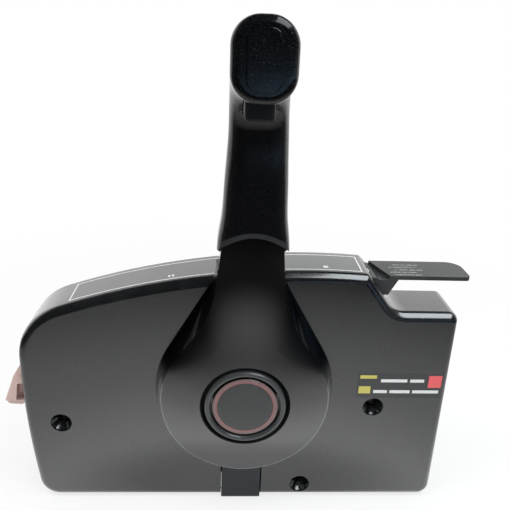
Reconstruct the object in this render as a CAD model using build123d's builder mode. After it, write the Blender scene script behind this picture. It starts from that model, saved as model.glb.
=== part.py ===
from build123d import *
from math import atan2, cos, degrees, hypot, pi, radians, sin, sqrt, tan
import os

# Side-mount throttle and shift control, in millimetres.
# The origin is on the lever's turning axis, in the plane of the mounting surface.
# +X points aft, +Z up, and the lever stands on the -Y side of the housing.

# Housing outline, seen from the lever side
forward_end = 136.0
aft_end = 127.5
bottom_drop = 84.9
top_height = 77.4
shoulder_height = 52.3
step_foot = 88.1
step_crest = 70.1
arch_crest = 38.0
arch_radius = 455.0
forward_side_radius = 600.0
forward_top_corner = 37.0
forward_bottom_corner = 13.0
aft_bottom_corner = 8.0
shoulder_corner = 5.5
step_foot_radius = 14.0
step_crest_radius = 4.0

# Covers
rear_cover_depth = 8.0
front_cover_depth = 34.0
cover_wall = 3.0
front_edge_radius = 5.0
inner_edge_radius = 2.0
joint_flange_width = 6.0
joint_flange_thickness = 3.0
rear_cover_inset = 3.5
rear_cover_chamfer = 0.4
seat_gap = 0.05

# Mounting holes: forward, aft and lower
mounting_points = [(-113.5, -26.7), (81.7, -13.4), (38.8, -74.9)]
mounting_bore = 3.3
sleeve_radius = 5.0
mounting_pocket = 6.5
mounting_boss = 9.0
mounting_floor = 6.0

# Screws that hold the two covers together
cover_screw_points = [(-104.0, 36.0), (-106.0, -68.0), (106.0, -73.0), (112.0, 38.0), (24.0, 64.0)]
cover_screw_radius = 1.5
cover_screw_length = 18.0
cover_screw_head_radius = 2.9
cover_screw_head_height = 2.0
cover_screw_boss = 4.5

# Scale strip on the top of the arch
strip_start = -104.6
strip_end = 67.4
strip_thickness = 0.6
strip_recess = 0.5
strip_front = 36.5
strip_back = 11.0

# Access cover under the hub
access_left = -13.0
access_right = 12.5
access_top = -46.0
access_thickness = 3.0
access_proud = 0.8
access_lip = 22.0
access_gap = 0.3
access_corner = 1.5

# Main shaft, its bushings and the lock ring round it
shaft_radius = 7.0
shaft_rear_end = 5.5
running_fit = 0.05
shaft_flat = 5.8
bushing_wall = 3.0
bushing_flange = 12.0
bushing_flange_thickness = 2.0
bushing_length = 9.0
shaft_boss_wall = 4.0
rear_boss_height = 10.5
lock_ring_outer = 32.0
lock_ring_inner = 20.0
lock_ring_thickness = 7.0
lock_notch_width = 6.8
lock_notch_depth = 5.0
lock_ring_screw_circle = 25.0
lock_ring_screw_radius = 1.5

# Hub of the control lever
hub_gap = 1.2
hub_side = 12.8
hub_back_radius = 54.3
hub_front_radius = 50.0
back_flank_angle = 30.0
front_flank_angle = 38.0
back_neck_radius = 30.0
front_neck_radius = 78.0
back_neck_half_width = 19.3
front_neck_half_width = 18.4
neck_base_top = 86.0
dome_height = 6.9
rim_step = 0.35
hub_recess_radius = 36.0
hub_recess_floor = 52.0
hub_boss_radius = 12.0
set_screw_radius = 2.0

# Neck and arm of the lever, inside the grip. The neck leans aft by a small angle.
lever_lean = 0.6
form_half_width = 56.0
neck_middle = 62.0
neck_middle_front = 60.7
neck_middle_bow = 62.0
neck_middle_form = 40.0
neck_upper = 86.0
neck_upper_front = 63.7
neck_upper_bow = 44.0
neck_upper_form = 30.0
neck_end = 112.0
neck_end_front = 67.2
neck_end_bow = 32.0
neck_end_form = 22.0
neck_back = 51.2
neck_shoulder_half_width = 17.9
neck_top_half_width = 15.4
arm_half_width = 10.0
arm_front = 62.0
arm_back = 46.6
arm_top = 166.0

# Grip: a shank that rises beside the lever's arm and bends out over the housing
grip_back_face = 44.0
grip_shank_depth = 28.0
collar_bottom = 86.0
collar_height = 104.0
waist_height = 118.0
shank_height = 144.0
bend_start = 160.0
collar_half_width = 18.8
waist_half_width = 17.0
shank_half_width = 15.6
bend_half_width = 14.8
palm_half_width = 13.4
palm_offset = 0.5
grip_end_half_width = 13.2
grip_bottom = 179.2
grip_top = 213.6
grip_end_bottom = 181.1
grip_end_top = 214.0
grip_length = 122.0
grip_palm_straight = 26.0
grip_end_straight = 14.0
grip_corner = 9.0
grip_palm_corner = 11.5
grip_end_radius = 3.5
grip_seam = 50.0
grip_clearance = 0.3
collar_arch_top = 109.0
collar_arch_radius = 24.0
collar_flap_bottom = 88.0
pad_half_width = 7.0
pad_half_height = 12.0
pad_depth = 2.6
pad_proud = 0.4
pad_corner = 5.5
grip_screw_height = 128.0
grip_screw_spread = 6.3
grip_screw_radius = 1.4
grip_screw_head_radius = 2.6

# Neutral lock: a bar under the grip, pulled up against a spring
lock_bar_half_width = 6.6
lock_bar_bottom = 171.5
lock_bar_top = 182.0
lock_bar_setback = 22.0
lock_bar_back = 69.0
lock_web_half_width = 1.7
lock_travel = 5.0
lock_rod_radius = 1.6
lock_rod_depth = 52.0
lock_clearance = 0.4
lock_tab_half_width = 3.0
lock_tab_bottom = 32.3
lock_tab_top = 43.0
lock_tab_back = 44.7
lock_web_top = 175.5
lock_collar_radius = 3.4
lock_collar_height = 2.0
lock_spring_bottom = 120.0
lock_spring_top = 140.0
lock_spring_radius = 2.9
lock_spring_wire = 0.35
lock_spring_turns = 5

# Throttle-only button in the middle of the hub
bezel_recess_radius = 26.4
bezel_recess_floor = 55.0
bezel_outer = 24.0
bezel_inner = 20.7
bezel_front = 62.7
bezel_edge_radius = 1.5
button_radius = 19.4
button_front = 61.9
button_thickness = 3.2
button_travel = 3.0
button_stem_radius = 3.0
button_stem_end = 46.0
button_stem_fit = 0.08
button_ring_outer = 18.3
button_ring_inner = 15.2
button_ring_depth = 1.2
button_pocket = 11.0
button_pocket_depth = 1.2
button_spring_radius = 9.0
button_spring_wire = 0.35
button_spring_turns = 2

# Gears that turn the shift arm
gear_module = 1.5
drive_teeth = 20
shift_teeth = 50
tooth_backlash = 0.12
pressure_angle = 20.0
gear_back = 18.0
gear_thickness = 6.0
shift_pivot_angle = 220.4
sector_half_angle = 47.0
shift_pivot_radius = 4.0
shift_hub_radius = 9.0
shift_arm_length = 28.0
shift_arm_half_width = 5.0
clevis_pin_radius = 2.4
shift_pin_length = 12.0
throttle_pin_length = 8.0
clip_thickness = 0.8
clip_width = 2.0
clip_groove = 0.6
clip_opening = 70.0
shaft_clip_back = 13.9

# Throttle arm, detent and neutral switch
throttle_hub_back = 24.3
throttle_arm_back = 29.0
throttle_arm_thickness = 3.5
throttle_arm_length = 30.0
throttle_arm_half_width = 5.0
throttle_hub_radius = 11.0
detent_plate_back = 15.0
detent_plate_thickness = 2.5
detent_plate_radius = 17.0
detent_notch = 1.6
detent_notch_step = 35.0
detent_gap = 0.3
detent_spring_span = 22.0
detent_spring_drop = 1.6
detent_spring_thickness = 0.8
detent_spring_bow = 2.1
detent_post_radius = 3.0
switch_length = 20.0
switch_width = 10.0
switch_thickness = 6.0
switch_plunger_radius = 1.2
switch_gap = 0.3

# Cable anchors and the grommet in the aft end
anchor_distance = 98.0
throttle_anchor_height = -30.0
shift_anchor_height = -62.0
harness_height = -46.0
cable_depth = 22.0
anchor_radius = 4.5
anchor_length = 12.0
anchor_bore = 3.0
anchor_socket_wall = 2.5
grommet_half_width = 7.5
grommet_end_margin = 9.0
grommet_flange = 2.0
grommet_lip = 2.2
cable_hole = 5.0

# Warm-up lever on the aft step
warm_up_pivot_setback = 3.9
warm_up_pivot_drop = 10.9
warm_up_rise = 7.5
warm_up_thickness = 2.5
warm_up_reach = 58.5
warm_up_front = 35.0
warm_up_back = 11.5
warm_up_front_corner = 2.5
warm_up_back_corner = 9.0
warm_up_tip_reach = 10.0
warm_up_tip_drop = 4.8
warm_up_hub = 6.3
warm_up_gusset_reach = 15.3
warm_up_slant_reach = 10.0
warm_up_slot = 9.5
warm_up_side_gap = 0.4
warm_up_pin = 2.0
warm_up_crank_length = 20.0
warm_up_crank_angle = 188.0
warm_up_crank_back = 20.0
warm_up_crank_thickness = 6.0
warm_up_crank_half_width = 3.5
warm_up_boss = 4.6

# Stop switch on the forward end
stop_pivot = (-130.0, -6.0)
stop_barrel = 5.0
stop_front = 35.0
stop_back = 21.0
stop_pin = 1.5
stop_window_bottom = -22.0
stop_window_top = 8.0
stop_tip_top = (-141.8, 2.9)
stop_tip_bottom = (-148.5, -14.7)
stop_crown = -1.0
stop_foot = -18.6
stop_face_bottom = -15.4
stop_face_proud = 1.0
stop_hollow_depth = 6.0
stop_hollow_top = -3.0
stop_hollow_start = (-140.3, -142.0)
stop_hollow_end = -136.2
stop_ear = 1.6
stop_body_start = -123.0
stop_body_end = -111.0
stop_body_half_height = 9.5

# Depths that follow from the sizes above, counted from the mounting plane towards the lever
housing_front = rear_cover_depth + front_cover_depth
inner_front = housing_front - cover_wall
hub_back = housing_front + hub_gap
hub_rim = hub_back + hub_side
shaft_front_end = bezel_recess_floor - 0.1
shaft_bore = shaft_radius + running_fit
bushing_outer = shaft_bore + bushing_wall
drive_radius = gear_module * drive_teeth / 2
shift_radius = gear_module * shift_teeth / 2
shift_pivot_distance = drive_radius + shift_radius
shift_pivot = (shift_pivot_distance * cos(radians(shift_pivot_angle)),
               shift_pivot_distance * sin(radians(shift_pivot_angle)))
throttle_arm_angle = degrees(atan2(throttle_anchor_height, anchor_distance))
grip_mid_depth = grip_back_face + grip_shank_depth / 2
grip_end_start = grip_length - grip_end_straight
palm_depth = grip_length - grip_palm_straight
lock_bar_front = grip_length - lock_bar_setback
warm_up_pivot = (step_crest + warm_up_pivot_setback, top_height - warm_up_pivot_drop)
warm_up_top = warm_up_pivot[1] + warm_up_rise
warm_up_end = warm_up_pivot[0] + warm_up_reach
warm_up_gusset = warm_up_pivot[0] + warm_up_gusset_reach
warm_up_tip = (warm_up_pivot[0] + warm_up_tip_reach, warm_up_pivot[1] - warm_up_tip_drop)
switch_middle = detent_plate_radius + switch_gap + 2 + switch_width / 2
switch_back = detent_plate_back - 1.5
detent_posts = [(-detent_spring_span, -detent_plate_radius - detent_post_radius),
                (detent_spring_span, -detent_plate_radius - detent_post_radius)]


def face_plane(depth):
    # A plane parallel to the mounting surface: local x is X, local y is Z, normal -Y.
    return Plane.XZ.offset(depth)


def lean_at(height):
    # How far aft the lever's centre line stands at a height.
    return height * tan(radians(lever_lean))


def save(piece, name):
    piece.part.label = name
    export_step(piece.part, f"parts/{name}.step")


os.makedirs("parts", exist_ok=True)

# ---------------------------------------------------------------- housing outline
with BuildSketch() as housing_profile:
    with Locations(((aft_end - forward_end) / 2, (top_height - bottom_drop) / 2)):
        Rectangle(aft_end + forward_end, top_height + bottom_drop)
    with Locations((arch_crest, top_height - arch_radius)):
        Circle(arch_radius, mode=Mode.INTERSECT)
    with Locations((forward_side_radius - forward_end, 0)):
        Circle(forward_side_radius, mode=Mode.INTERSECT)
    with BuildLine():
        Polyline((step_crest, top_height + 1), (step_crest, top_height), (step_foot, shoulder_height),
                 (aft_end + 1, shoulder_height), (aft_end + 1, top_height + 1), close=True)
    make_face(mode=Mode.SUBTRACT)
    for corner, radius in (((-forward_end, top_height), forward_top_corner),
                           ((-forward_end, -bottom_drop), forward_bottom_corner),
                           ((aft_end, -bottom_drop), aft_bottom_corner),
                           ((aft_end, shoulder_height), shoulder_corner),
                           ((step_foot, shoulder_height), step_foot_radius),
                           ((step_crest, top_height), step_crest_radius)):
        fillet(housing_profile.vertices().sort_by_distance(corner)[0], radius=radius)
housing_face = housing_profile.sketch


def inset_outline(amount):
    # The housing outline moved inwards, for walls, ledges and recesses.
    return offset(housing_face, amount=-amount, mode=Mode.PRIVATE)


def flatted_shaft(radius, flat):
    # The shaft's driving section: a circle with two flats.
    with BuildSketch() as section:
        Circle(radius)
        Rectangle(2 * radius + 1, 2 * flat, mode=Mode.INTERSECT)
    return section.sketch


# ---------------------------------------------------------------- front cover
with BuildPart() as front_cover:
    with BuildSketch(face_plane(rear_cover_depth)):
        add(housing_face)
    extrude(amount=front_cover_depth)
    fillet(front_cover.faces().sort_by(Axis.Y)[0].edges(), radius=front_edge_radius)
    offset(amount=-cover_wall, openings=front_cover.faces().sort_by(Axis.Y)[-1])
    # ledge round the open edge, where the rear cover seats
    with BuildSketch(face_plane(rear_cover_depth)):
        add(housing_face)
        add(inset_outline(joint_flange_width), mode=Mode.SUBTRACT)
    extrude(amount=joint_flange_thickness)
    # bosses for the mounting screws, the cover screws, the shaft and the warm-up pivot
    with BuildSketch(face_plane(rear_cover_depth)):
        with Locations(*mounting_points):
            Circle(mounting_boss)
        with Locations(*cover_screw_points):
            Circle(cover_screw_boss)
        add(inset_outline(cover_wall / 2), mode=Mode.INTERSECT)
    extrude(amount=front_cover_depth - cover_wall / 2)
    with BuildSketch(face_plane(inner_front)):
        Circle(bushing_outer + shaft_boss_wall)
    extrude(amount=-(bushing_length - cover_wall))
    with BuildSketch(face_plane(warm_up_front + warm_up_side_gap)):
        with Locations(warm_up_pivot):
            Circle(warm_up_boss)
        add(inset_outline(cover_wall / 2), mode=Mode.INTERSECT)
    extrude(amount=inner_front - warm_up_front - warm_up_side_gap + cover_wall / 2)
    # mounting pockets, opening on the lever side, with a floor for the screw head's sleeve
    with BuildSketch(face_plane(rear_cover_depth + mounting_floor)):
        with Locations(*mounting_points):
            Circle(mounting_pocket)
    extrude(amount=front_cover_depth, mode=Mode.SUBTRACT)
    with BuildSketch(face_plane(rear_cover_depth)):
        with Locations(*mounting_points):
            Circle(sleeve_radius + seat_gap)
    extrude(amount=mounting_floor, mode=Mode.SUBTRACT)
    with BuildSketch(face_plane(rear_cover_depth)):
        with Locations(*cover_screw_points):
            Circle(cover_screw_radius + seat_gap)
    extrude(amount=cover_screw_length - rear_cover_depth + 1, mode=Mode.SUBTRACT)
    with BuildSketch(face_plane(inner_front - bushing_length)):
        Circle(bushing_outer + seat_gap)
        with PolarLocations(lock_ring_screw_circle, 3, start_angle=30):
            Circle(lock_ring_screw_radius + seat_gap)
    extrude(amount=bushing_length + 2 * cover_wall, mode=Mode.SUBTRACT)
    # slot in the aft step for the warm-up lever, and its pivot pin's seats
    with BuildSketch(face_plane(warm_up_back - warm_up_side_gap)):
        with Locations(warm_up_pivot):
            Circle(warm_up_slot)
    extrude(amount=warm_up_front - warm_up_back + 2 * warm_up_side_gap, mode=Mode.SUBTRACT)
    with BuildSketch(face_plane(rear_cover_depth)):
        with Locations(warm_up_pivot):
            Circle(warm_up_pin + seat_gap)
    extrude(amount=inner_front - rear_cover_depth, mode=Mode.SUBTRACT)
    # window in the forward end for the stop switch, and the slot for the cables' grommet
    with BuildSketch(face_plane(stop_back - 1)):
        with Locations((-forward_end, (stop_window_bottom + stop_window_top) / 2)):
            Rectangle(2 * cover_wall + 6, stop_window_top - stop_window_bottom)
    extrude(amount=stop_front - stop_back + 2, mode=Mode.SUBTRACT)
    with BuildSketch(Plane.YZ.offset(aft_end - 2 * cover_wall)):
        with Locations((-cable_depth, (throttle_anchor_height + shift_anchor_height) / 2)):
            SlotOverall(throttle_anchor_height - shift_anchor_height + 2 * grommet_end_margin,
                        2 * grommet_half_width, rotation=90)
    extrude(amount=4 * cover_wall, mode=Mode.SUBTRACT)
    # seats of the access cover and of the scale strip
    with BuildSketch(face_plane(housing_front - access_lip - access_gap)):
        with Locations(((access_left + access_right) / 2, -bottom_drop)):
            Rectangle(access_right - access_left + 2 * access_gap, 2 * (cover_wall + access_gap))
    extrude(amount=access_lip + 2 * access_gap, mode=Mode.SUBTRACT)
    with BuildSketch(face_plane(housing_front - cover_wall - access_gap)):
        with Locations(((access_left + access_right) / 2, (access_top - bottom_drop) / 2)):
            Rectangle(access_right - access_left + 2 * access_gap,
                      access_top + bottom_drop + 2 * access_gap)
    extrude(amount=2 * cover_wall, mode=Mode.SUBTRACT)
    with BuildSketch(face_plane(strip_back)):
        add(housing_face)
        add(inset_outline(strip_recess), mode=Mode.SUBTRACT)
        with Locations(((strip_start + strip_end) / 2, top_height)):
            Rectangle(strip_end - strip_start, top_height, mode=Mode.INTERSECT)
    extrude(amount=strip_front - strip_back, mode=Mode.SUBTRACT)
save(front_cover, "front_cover")

with BuildPart() as scale_strip:
    with BuildSketch(face_plane(strip_back)):
        add(inset_outline(strip_recess - strip_thickness))
        add(inset_outline(strip_recess), mode=Mode.SUBTRACT)
        with Locations(((strip_start + strip_end) / 2, top_height)):
            Rectangle(strip_end - strip_start, top_height, mode=Mode.INTERSECT)
    extrude(amount=strip_front - strip_back)
save(scale_strip, "scale_strip")

# ---------------------------------------------------------------- rear cover
with BuildPart() as rear_cover:
    with BuildSketch(Plane.XZ):
        add(inset_outline(rear_cover_inset))
    extrude(amount=rear_cover_depth)
    chamfer(rear_cover.faces().sort_by(Axis.Y)[-1].edges(), length=rear_cover_chamfer)
    with BuildSketch(face_plane(cover_wall)):
        add(inset_outline(rear_cover_inset + cover_wall))
        with Locations(*mounting_points):
            Circle(mounting_boss, mode=Mode.SUBTRACT)
        with Locations(*cover_screw_points):
            Circle(cover_screw_boss, mode=Mode.SUBTRACT)
    extrude(amount=rear_cover_depth, mode=Mode.SUBTRACT)
    # bosses for the main shaft and the shift pivot, posts for the detent spring
    with BuildSketch(face_plane(cover_wall - 0.5)):
        Circle(bushing_outer + shaft_boss_wall)
    extrude(amount=rear_boss_height + 0.5)
    with BuildSketch(face_plane(cover_wall - 0.5)):
        with Locations(shift_pivot):
            Circle(shift_pivot_radius + shaft_boss_wall)
    extrude(amount=gear_back - 0.3 - cover_wall + 0.5)
    with BuildSketch(face_plane(cover_wall - 0.5)):
        with Locations(*detent_posts):
            Circle(detent_post_radius)
    extrude(amount=detent_plate_back + detent_plate_thickness - cover_wall + 0.5)
    # seat of the neutral switch and the sockets of the cable anchors
    with BuildSketch(face_plane(cover_wall - 0.5)):
        with Locations((switch_middle, 0)):
            Rectangle(switch_width, switch_length)
    extrude(amount=switch_back - cover_wall + 0.5)
    with BuildSketch(face_plane(cover_wall - 0.5)):
        with Locations((anchor_distance, throttle_anchor_height), (anchor_distance, shift_anchor_height)):
            Circle(anchor_radius + anchor_socket_wall)
    extrude(amount=cable_depth - 3.8 - cover_wall + 0.5)
    with BuildSketch(face_plane(cable_depth - anchor_length / 2 - 0.1)):
        with Locations((anchor_distance, throttle_anchor_height), (anchor_distance, shift_anchor_height)):
            Circle(anchor_radius + running_fit)
    extrude(amount=anchor_length, mode=Mode.SUBTRACT)
    # bores
    with BuildSketch(face_plane(shaft_rear_end - 0.5)):
        Circle(bushing_outer + seat_gap)
    extrude(amount=2 * rear_boss_height, mode=Mode.SUBTRACT)
    with BuildSketch(face_plane(cover_wall + 1)):
        with Locations(shift_pivot):
            Circle(shift_pivot_radius + seat_gap)
    extrude(amount=2 * gear_back, mode=Mode.SUBTRACT)
    with BuildSketch(Plane.XZ):
        with Locations(*mounting_points):
            Circle(sleeve_radius + seat_gap)
        with Locations(*cover_screw_points):
            Circle(cover_screw_radius + seat_gap)
    extrude(amount=rear_cover_depth, mode=Mode.SUBTRACT)
    with BuildSketch(Plane.XZ):
        with Locations(*cover_screw_points):
            Circle(cover_screw_head_radius + 2 * seat_gap)
    extrude(amount=cover_screw_head_height + 0.3, mode=Mode.SUBTRACT)
save(rear_cover, "rear_cover")

with BuildPart() as mounting_sleeves:
    with BuildSketch(Plane.XZ):
        with Locations(*mounting_points):
            Circle(sleeve_radius)
            Circle(mounting_bore, mode=Mode.SUBTRACT)
    extrude(amount=rear_cover_depth + mounting_floor)
save(mounting_sleeves, "mounting_sleeves")

with BuildPart() as cover_screws:
    with BuildSketch(face_plane(0.3)):
        with Locations(*cover_screw_points):
            Circle(cover_screw_head_radius)
    extrude(amount=cover_screw_head_height)
    chamfer(cover_screws.faces().sort_by(Axis.Y)[-len(cover_screw_points):].edges(), length=0.4)
    with BuildSketch(face_plane(0.3 + cover_screw_head_height)):
        with Locations(*cover_screw_points):
            Circle(cover_screw_radius)
    extrude(amount=cover_screw_length - cover_screw_head_height)
save(cover_screws, "cover_screws")

with BuildPart() as lower_access_cover:
    access_middle = (access_left + access_right) / 2
    with BuildSketch(face_plane(housing_front - access_thickness)):
        with Locations((access_middle, (access_top - bottom_drop - access_proud) / 2)):
            Rectangle(access_right - access_left, access_top + bottom_drop + access_proud)
    extrude(amount=access_thickness + access_proud)
    with BuildSketch(face_plane(housing_front - access_lip)):
        with Locations((access_middle, -bottom_drop + (cover_wall - access_proud) / 2)):
            Rectangle(access_right - access_left, cover_wall + access_proud)
    extrude(amount=access_lip)
    outer_corner = lower_access_cover.edges().filter_by(Axis.X).sort_by_distance(
        (access_middle, -housing_front - access_proud, -bottom_drop - access_proud))[0]
    fillet(outer_corner, radius=access_corner)
    fillet(lower_access_cover.faces().sort_by(Axis.Y)[0].edges().filter_by(Axis.Z), radius=0.6)
save(lower_access_cover, "lower_access_cover")

# ---------------------------------------------------------------- shaft, bushings and lock ring
double_d = flatted_shaft(shaft_radius, shaft_flat)
double_d_bore = flatted_shaft(shaft_bore, shaft_flat + running_fit)

with BuildPart() as main_shaft:
    with BuildSketch(face_plane(shaft_rear_end)):
        Circle(shaft_radius)
    extrude(amount=shaft_front_end - shaft_rear_end)
    # flats where the gear, the throttle arm and the detent plate are driven
    with BuildSketch(face_plane(detent_plate_back)):
        Circle(shaft_radius + 1)
        add(double_d, mode=Mode.SUBTRACT)
    extrude(amount=throttle_arm_back + throttle_arm_thickness - detent_plate_back, mode=Mode.SUBTRACT)
    with BuildSketch(face_plane(shaft_clip_back)):
        Circle(shaft_radius + 1)
        Circle(shaft_radius - clip_groove, mode=Mode.SUBTRACT)
    extrude(amount=clip_thickness, mode=Mode.SUBTRACT)
    with BuildSketch(face_plane(button_stem_end - button_travel - 1)):
        Circle(button_stem_radius + button_stem_fit)
    extrude(amount=shaft_front_end, mode=Mode.SUBTRACT)
    chamfer(main_shaft.faces().sort_by(Axis.Y)[-1].edges(), length=0.6)
save(main_shaft, "main_shaft")

with BuildPart() as front_bushing:
    with BuildSketch(face_plane(housing_front - bushing_length)):
        Circle(bushing_outer)
    extrude(amount=bushing_length)
    with BuildSketch(face_plane(housing_front)):
        Circle(bushing_flange)
    extrude(amount=bushing_flange_thickness)
    with BuildSketch(face_plane(0)):
        Circle(shaft_bore)
    extrude(amount=housing_front + bushing_flange_thickness, mode=Mode.SUBTRACT)
save(front_bushing, "front_bushing")

with BuildPart() as rear_bushing:
    with BuildSketch(face_plane(shaft_rear_end - 0.5)):
        Circle(bushing_outer)
        Circle(shaft_bore, mode=Mode.SUBTRACT)
    extrude(amount=cover_wall + rear_boss_height - shaft_rear_end + 0.5)
save(rear_bushing, "rear_bushing")

with BuildPart() as neutral_lock_ring:
    with BuildSketch(face_plane(housing_front)):
        Circle(lock_ring_outer)
        Circle(lock_ring_inner, mode=Mode.SUBTRACT)
        with Locations((0, lock_ring_outer)):
            Rectangle(lock_notch_width, 2 * lock_notch_depth, mode=Mode.SUBTRACT)
        with PolarLocations(lock_ring_screw_circle, 3, start_angle=30):
            Circle(lock_ring_screw_radius + seat_gap, mode=Mode.SUBTRACT)
    extrude(amount=lock_ring_thickness)
    chamfer(neutral_lock_ring.faces().sort_by(Axis.Y)[0].outer_wire().edges().filter_by(GeomType.CIRCLE),
            length=0.6)
save(neutral_lock_ring, "neutral_lock_ring")

with BuildPart() as lock_ring_screws:
    with BuildSketch(face_plane(inner_front - 1)):
        with PolarLocations(lock_ring_screw_circle, 3, start_angle=30):
            Circle(lock_ring_screw_radius)
    extrude(amount=cover_wall + 1 + lock_ring_thickness)
    with BuildSketch(face_plane(housing_front + lock_ring_thickness)):
        with PolarLocations(lock_ring_screw_circle, 3, start_angle=30):
            Circle(2 * lock_ring_screw_radius)
    extrude(amount=1.4)
save(lock_ring_screws, "lock_ring_screws")


# ---------------------------------------------------------------- control lever
def hub_outline(radius, flank_angle, neck_radius, half_width, top):
    # A round hub whose flanks leave it on a tangent and sweep into a parallel neck.
    turn = radians(flank_angle)
    flank = (radius * cos(turn) - half_width - neck_radius * (1 - cos(turn))) / sin(turn)
    start = (radius * cos(turn), radius * sin(turn))
    halfway = (radius * cos(turn / 2 - pi / 4), radius * sin(turn / 2 - pi / 4))
    end = (start[0] - flank * sin(turn), start[1] + flank * cos(turn))
    centre = (half_width + neck_radius, end[1] + neck_radius * sin(turn))
    middle = (centre[0] - neck_radius * cos(turn / 2), centre[1] - neck_radius * sin(turn / 2))
    with BuildSketch() as outline:
        with BuildLine():
            ThreePointArc((0, -radius), halfway, start)
            Line(start, end)
            ThreePointArc(end, middle, (half_width, centre[1]))
            Line((half_width, centre[1]), (half_width, top))
            Line((half_width, top), (0, top))
            mirror(about=Plane.YZ)
        make_face()
    return outline.sketch.rotate(Axis.Z, -lever_lean)


def bowed_section(height, half_width, front, bow_radius):
    # A level section of the lever's front form: flat at the back, bowed across the front.
    edge = front - bow_radius + sqrt(bow_radius**2 - half_width**2)
    with BuildSketch(Plane.XY.offset(height)) as section:
        with BuildLine():
            Polyline((-half_width, -edge), (-half_width, -hub_back),
                     (half_width, -hub_back), (half_width, -edge))
            ThreePointArc((half_width, -edge), (0, -front), (-half_width, -edge))
        make_face()
    return section.sketch


def neck_taper(bottom, top, clearance):
    # The narrowing neck that the grip's collar covers, seen from the front.
    slope = (neck_shoulder_half_width - neck_top_half_width) / (neck_end - neck_base_top)
    lower = neck_shoulder_half_width + clearance + slope * (neck_base_top - bottom)
    upper = neck_top_half_width + clearance - slope * (top - neck_end)
    with BuildSketch() as outline:
        with BuildLine():
            Polyline((-lower, bottom), (lower, bottom), (upper, top), (-upper, top), close=True)
        make_face()
    return outline.sketch.rotate(Axis.Z, -lever_lean)


hub_back_face = hub_outline(hub_back_radius, back_flank_angle, back_neck_radius,
                            back_neck_half_width, neck_base_top)
hub_front_face = hub_outline(hub_front_radius, front_flank_angle, front_neck_radius,
                             front_neck_half_width, neck_base_top)
dome_radius = (hub_front_radius**2 + dome_height**2) / (2 * dome_height)
form_sections = []
for height in (-hub_front_radius - 1, -hub_front_radius / 2, 0, hub_front_radius / 2):
    slice_radius = sqrt(dome_radius**2 - height**2)
    form_sections.append(bowed_section(height, form_half_width,
                                       hub_rim + rim_step + dome_height - dome_radius + slice_radius,
                                       slice_radius))
form_sections.append(bowed_section(neck_middle, neck_middle_form, neck_middle_front, neck_middle_bow))
form_sections.append(bowed_section(neck_upper, neck_upper_form, neck_upper_front, neck_upper_bow))
form_sections.append(bowed_section(neck_end, neck_end_form, neck_end_front, neck_end_bow))

neck_front_face = neck_taper(neck_base_top - 2, neck_end + 1, 0)
# the bowed front of hub and neck, cut to the hub's outline
with BuildPart() as lever_front:
    for section in form_sections:
        add(section)
    loft()
    with BuildSketch(face_plane(neck_back)):
        add(hub_front_face)
        add(neck_front_face)
    extrude(amount=neck_end_front, mode=Mode.INTERSECT)

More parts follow.
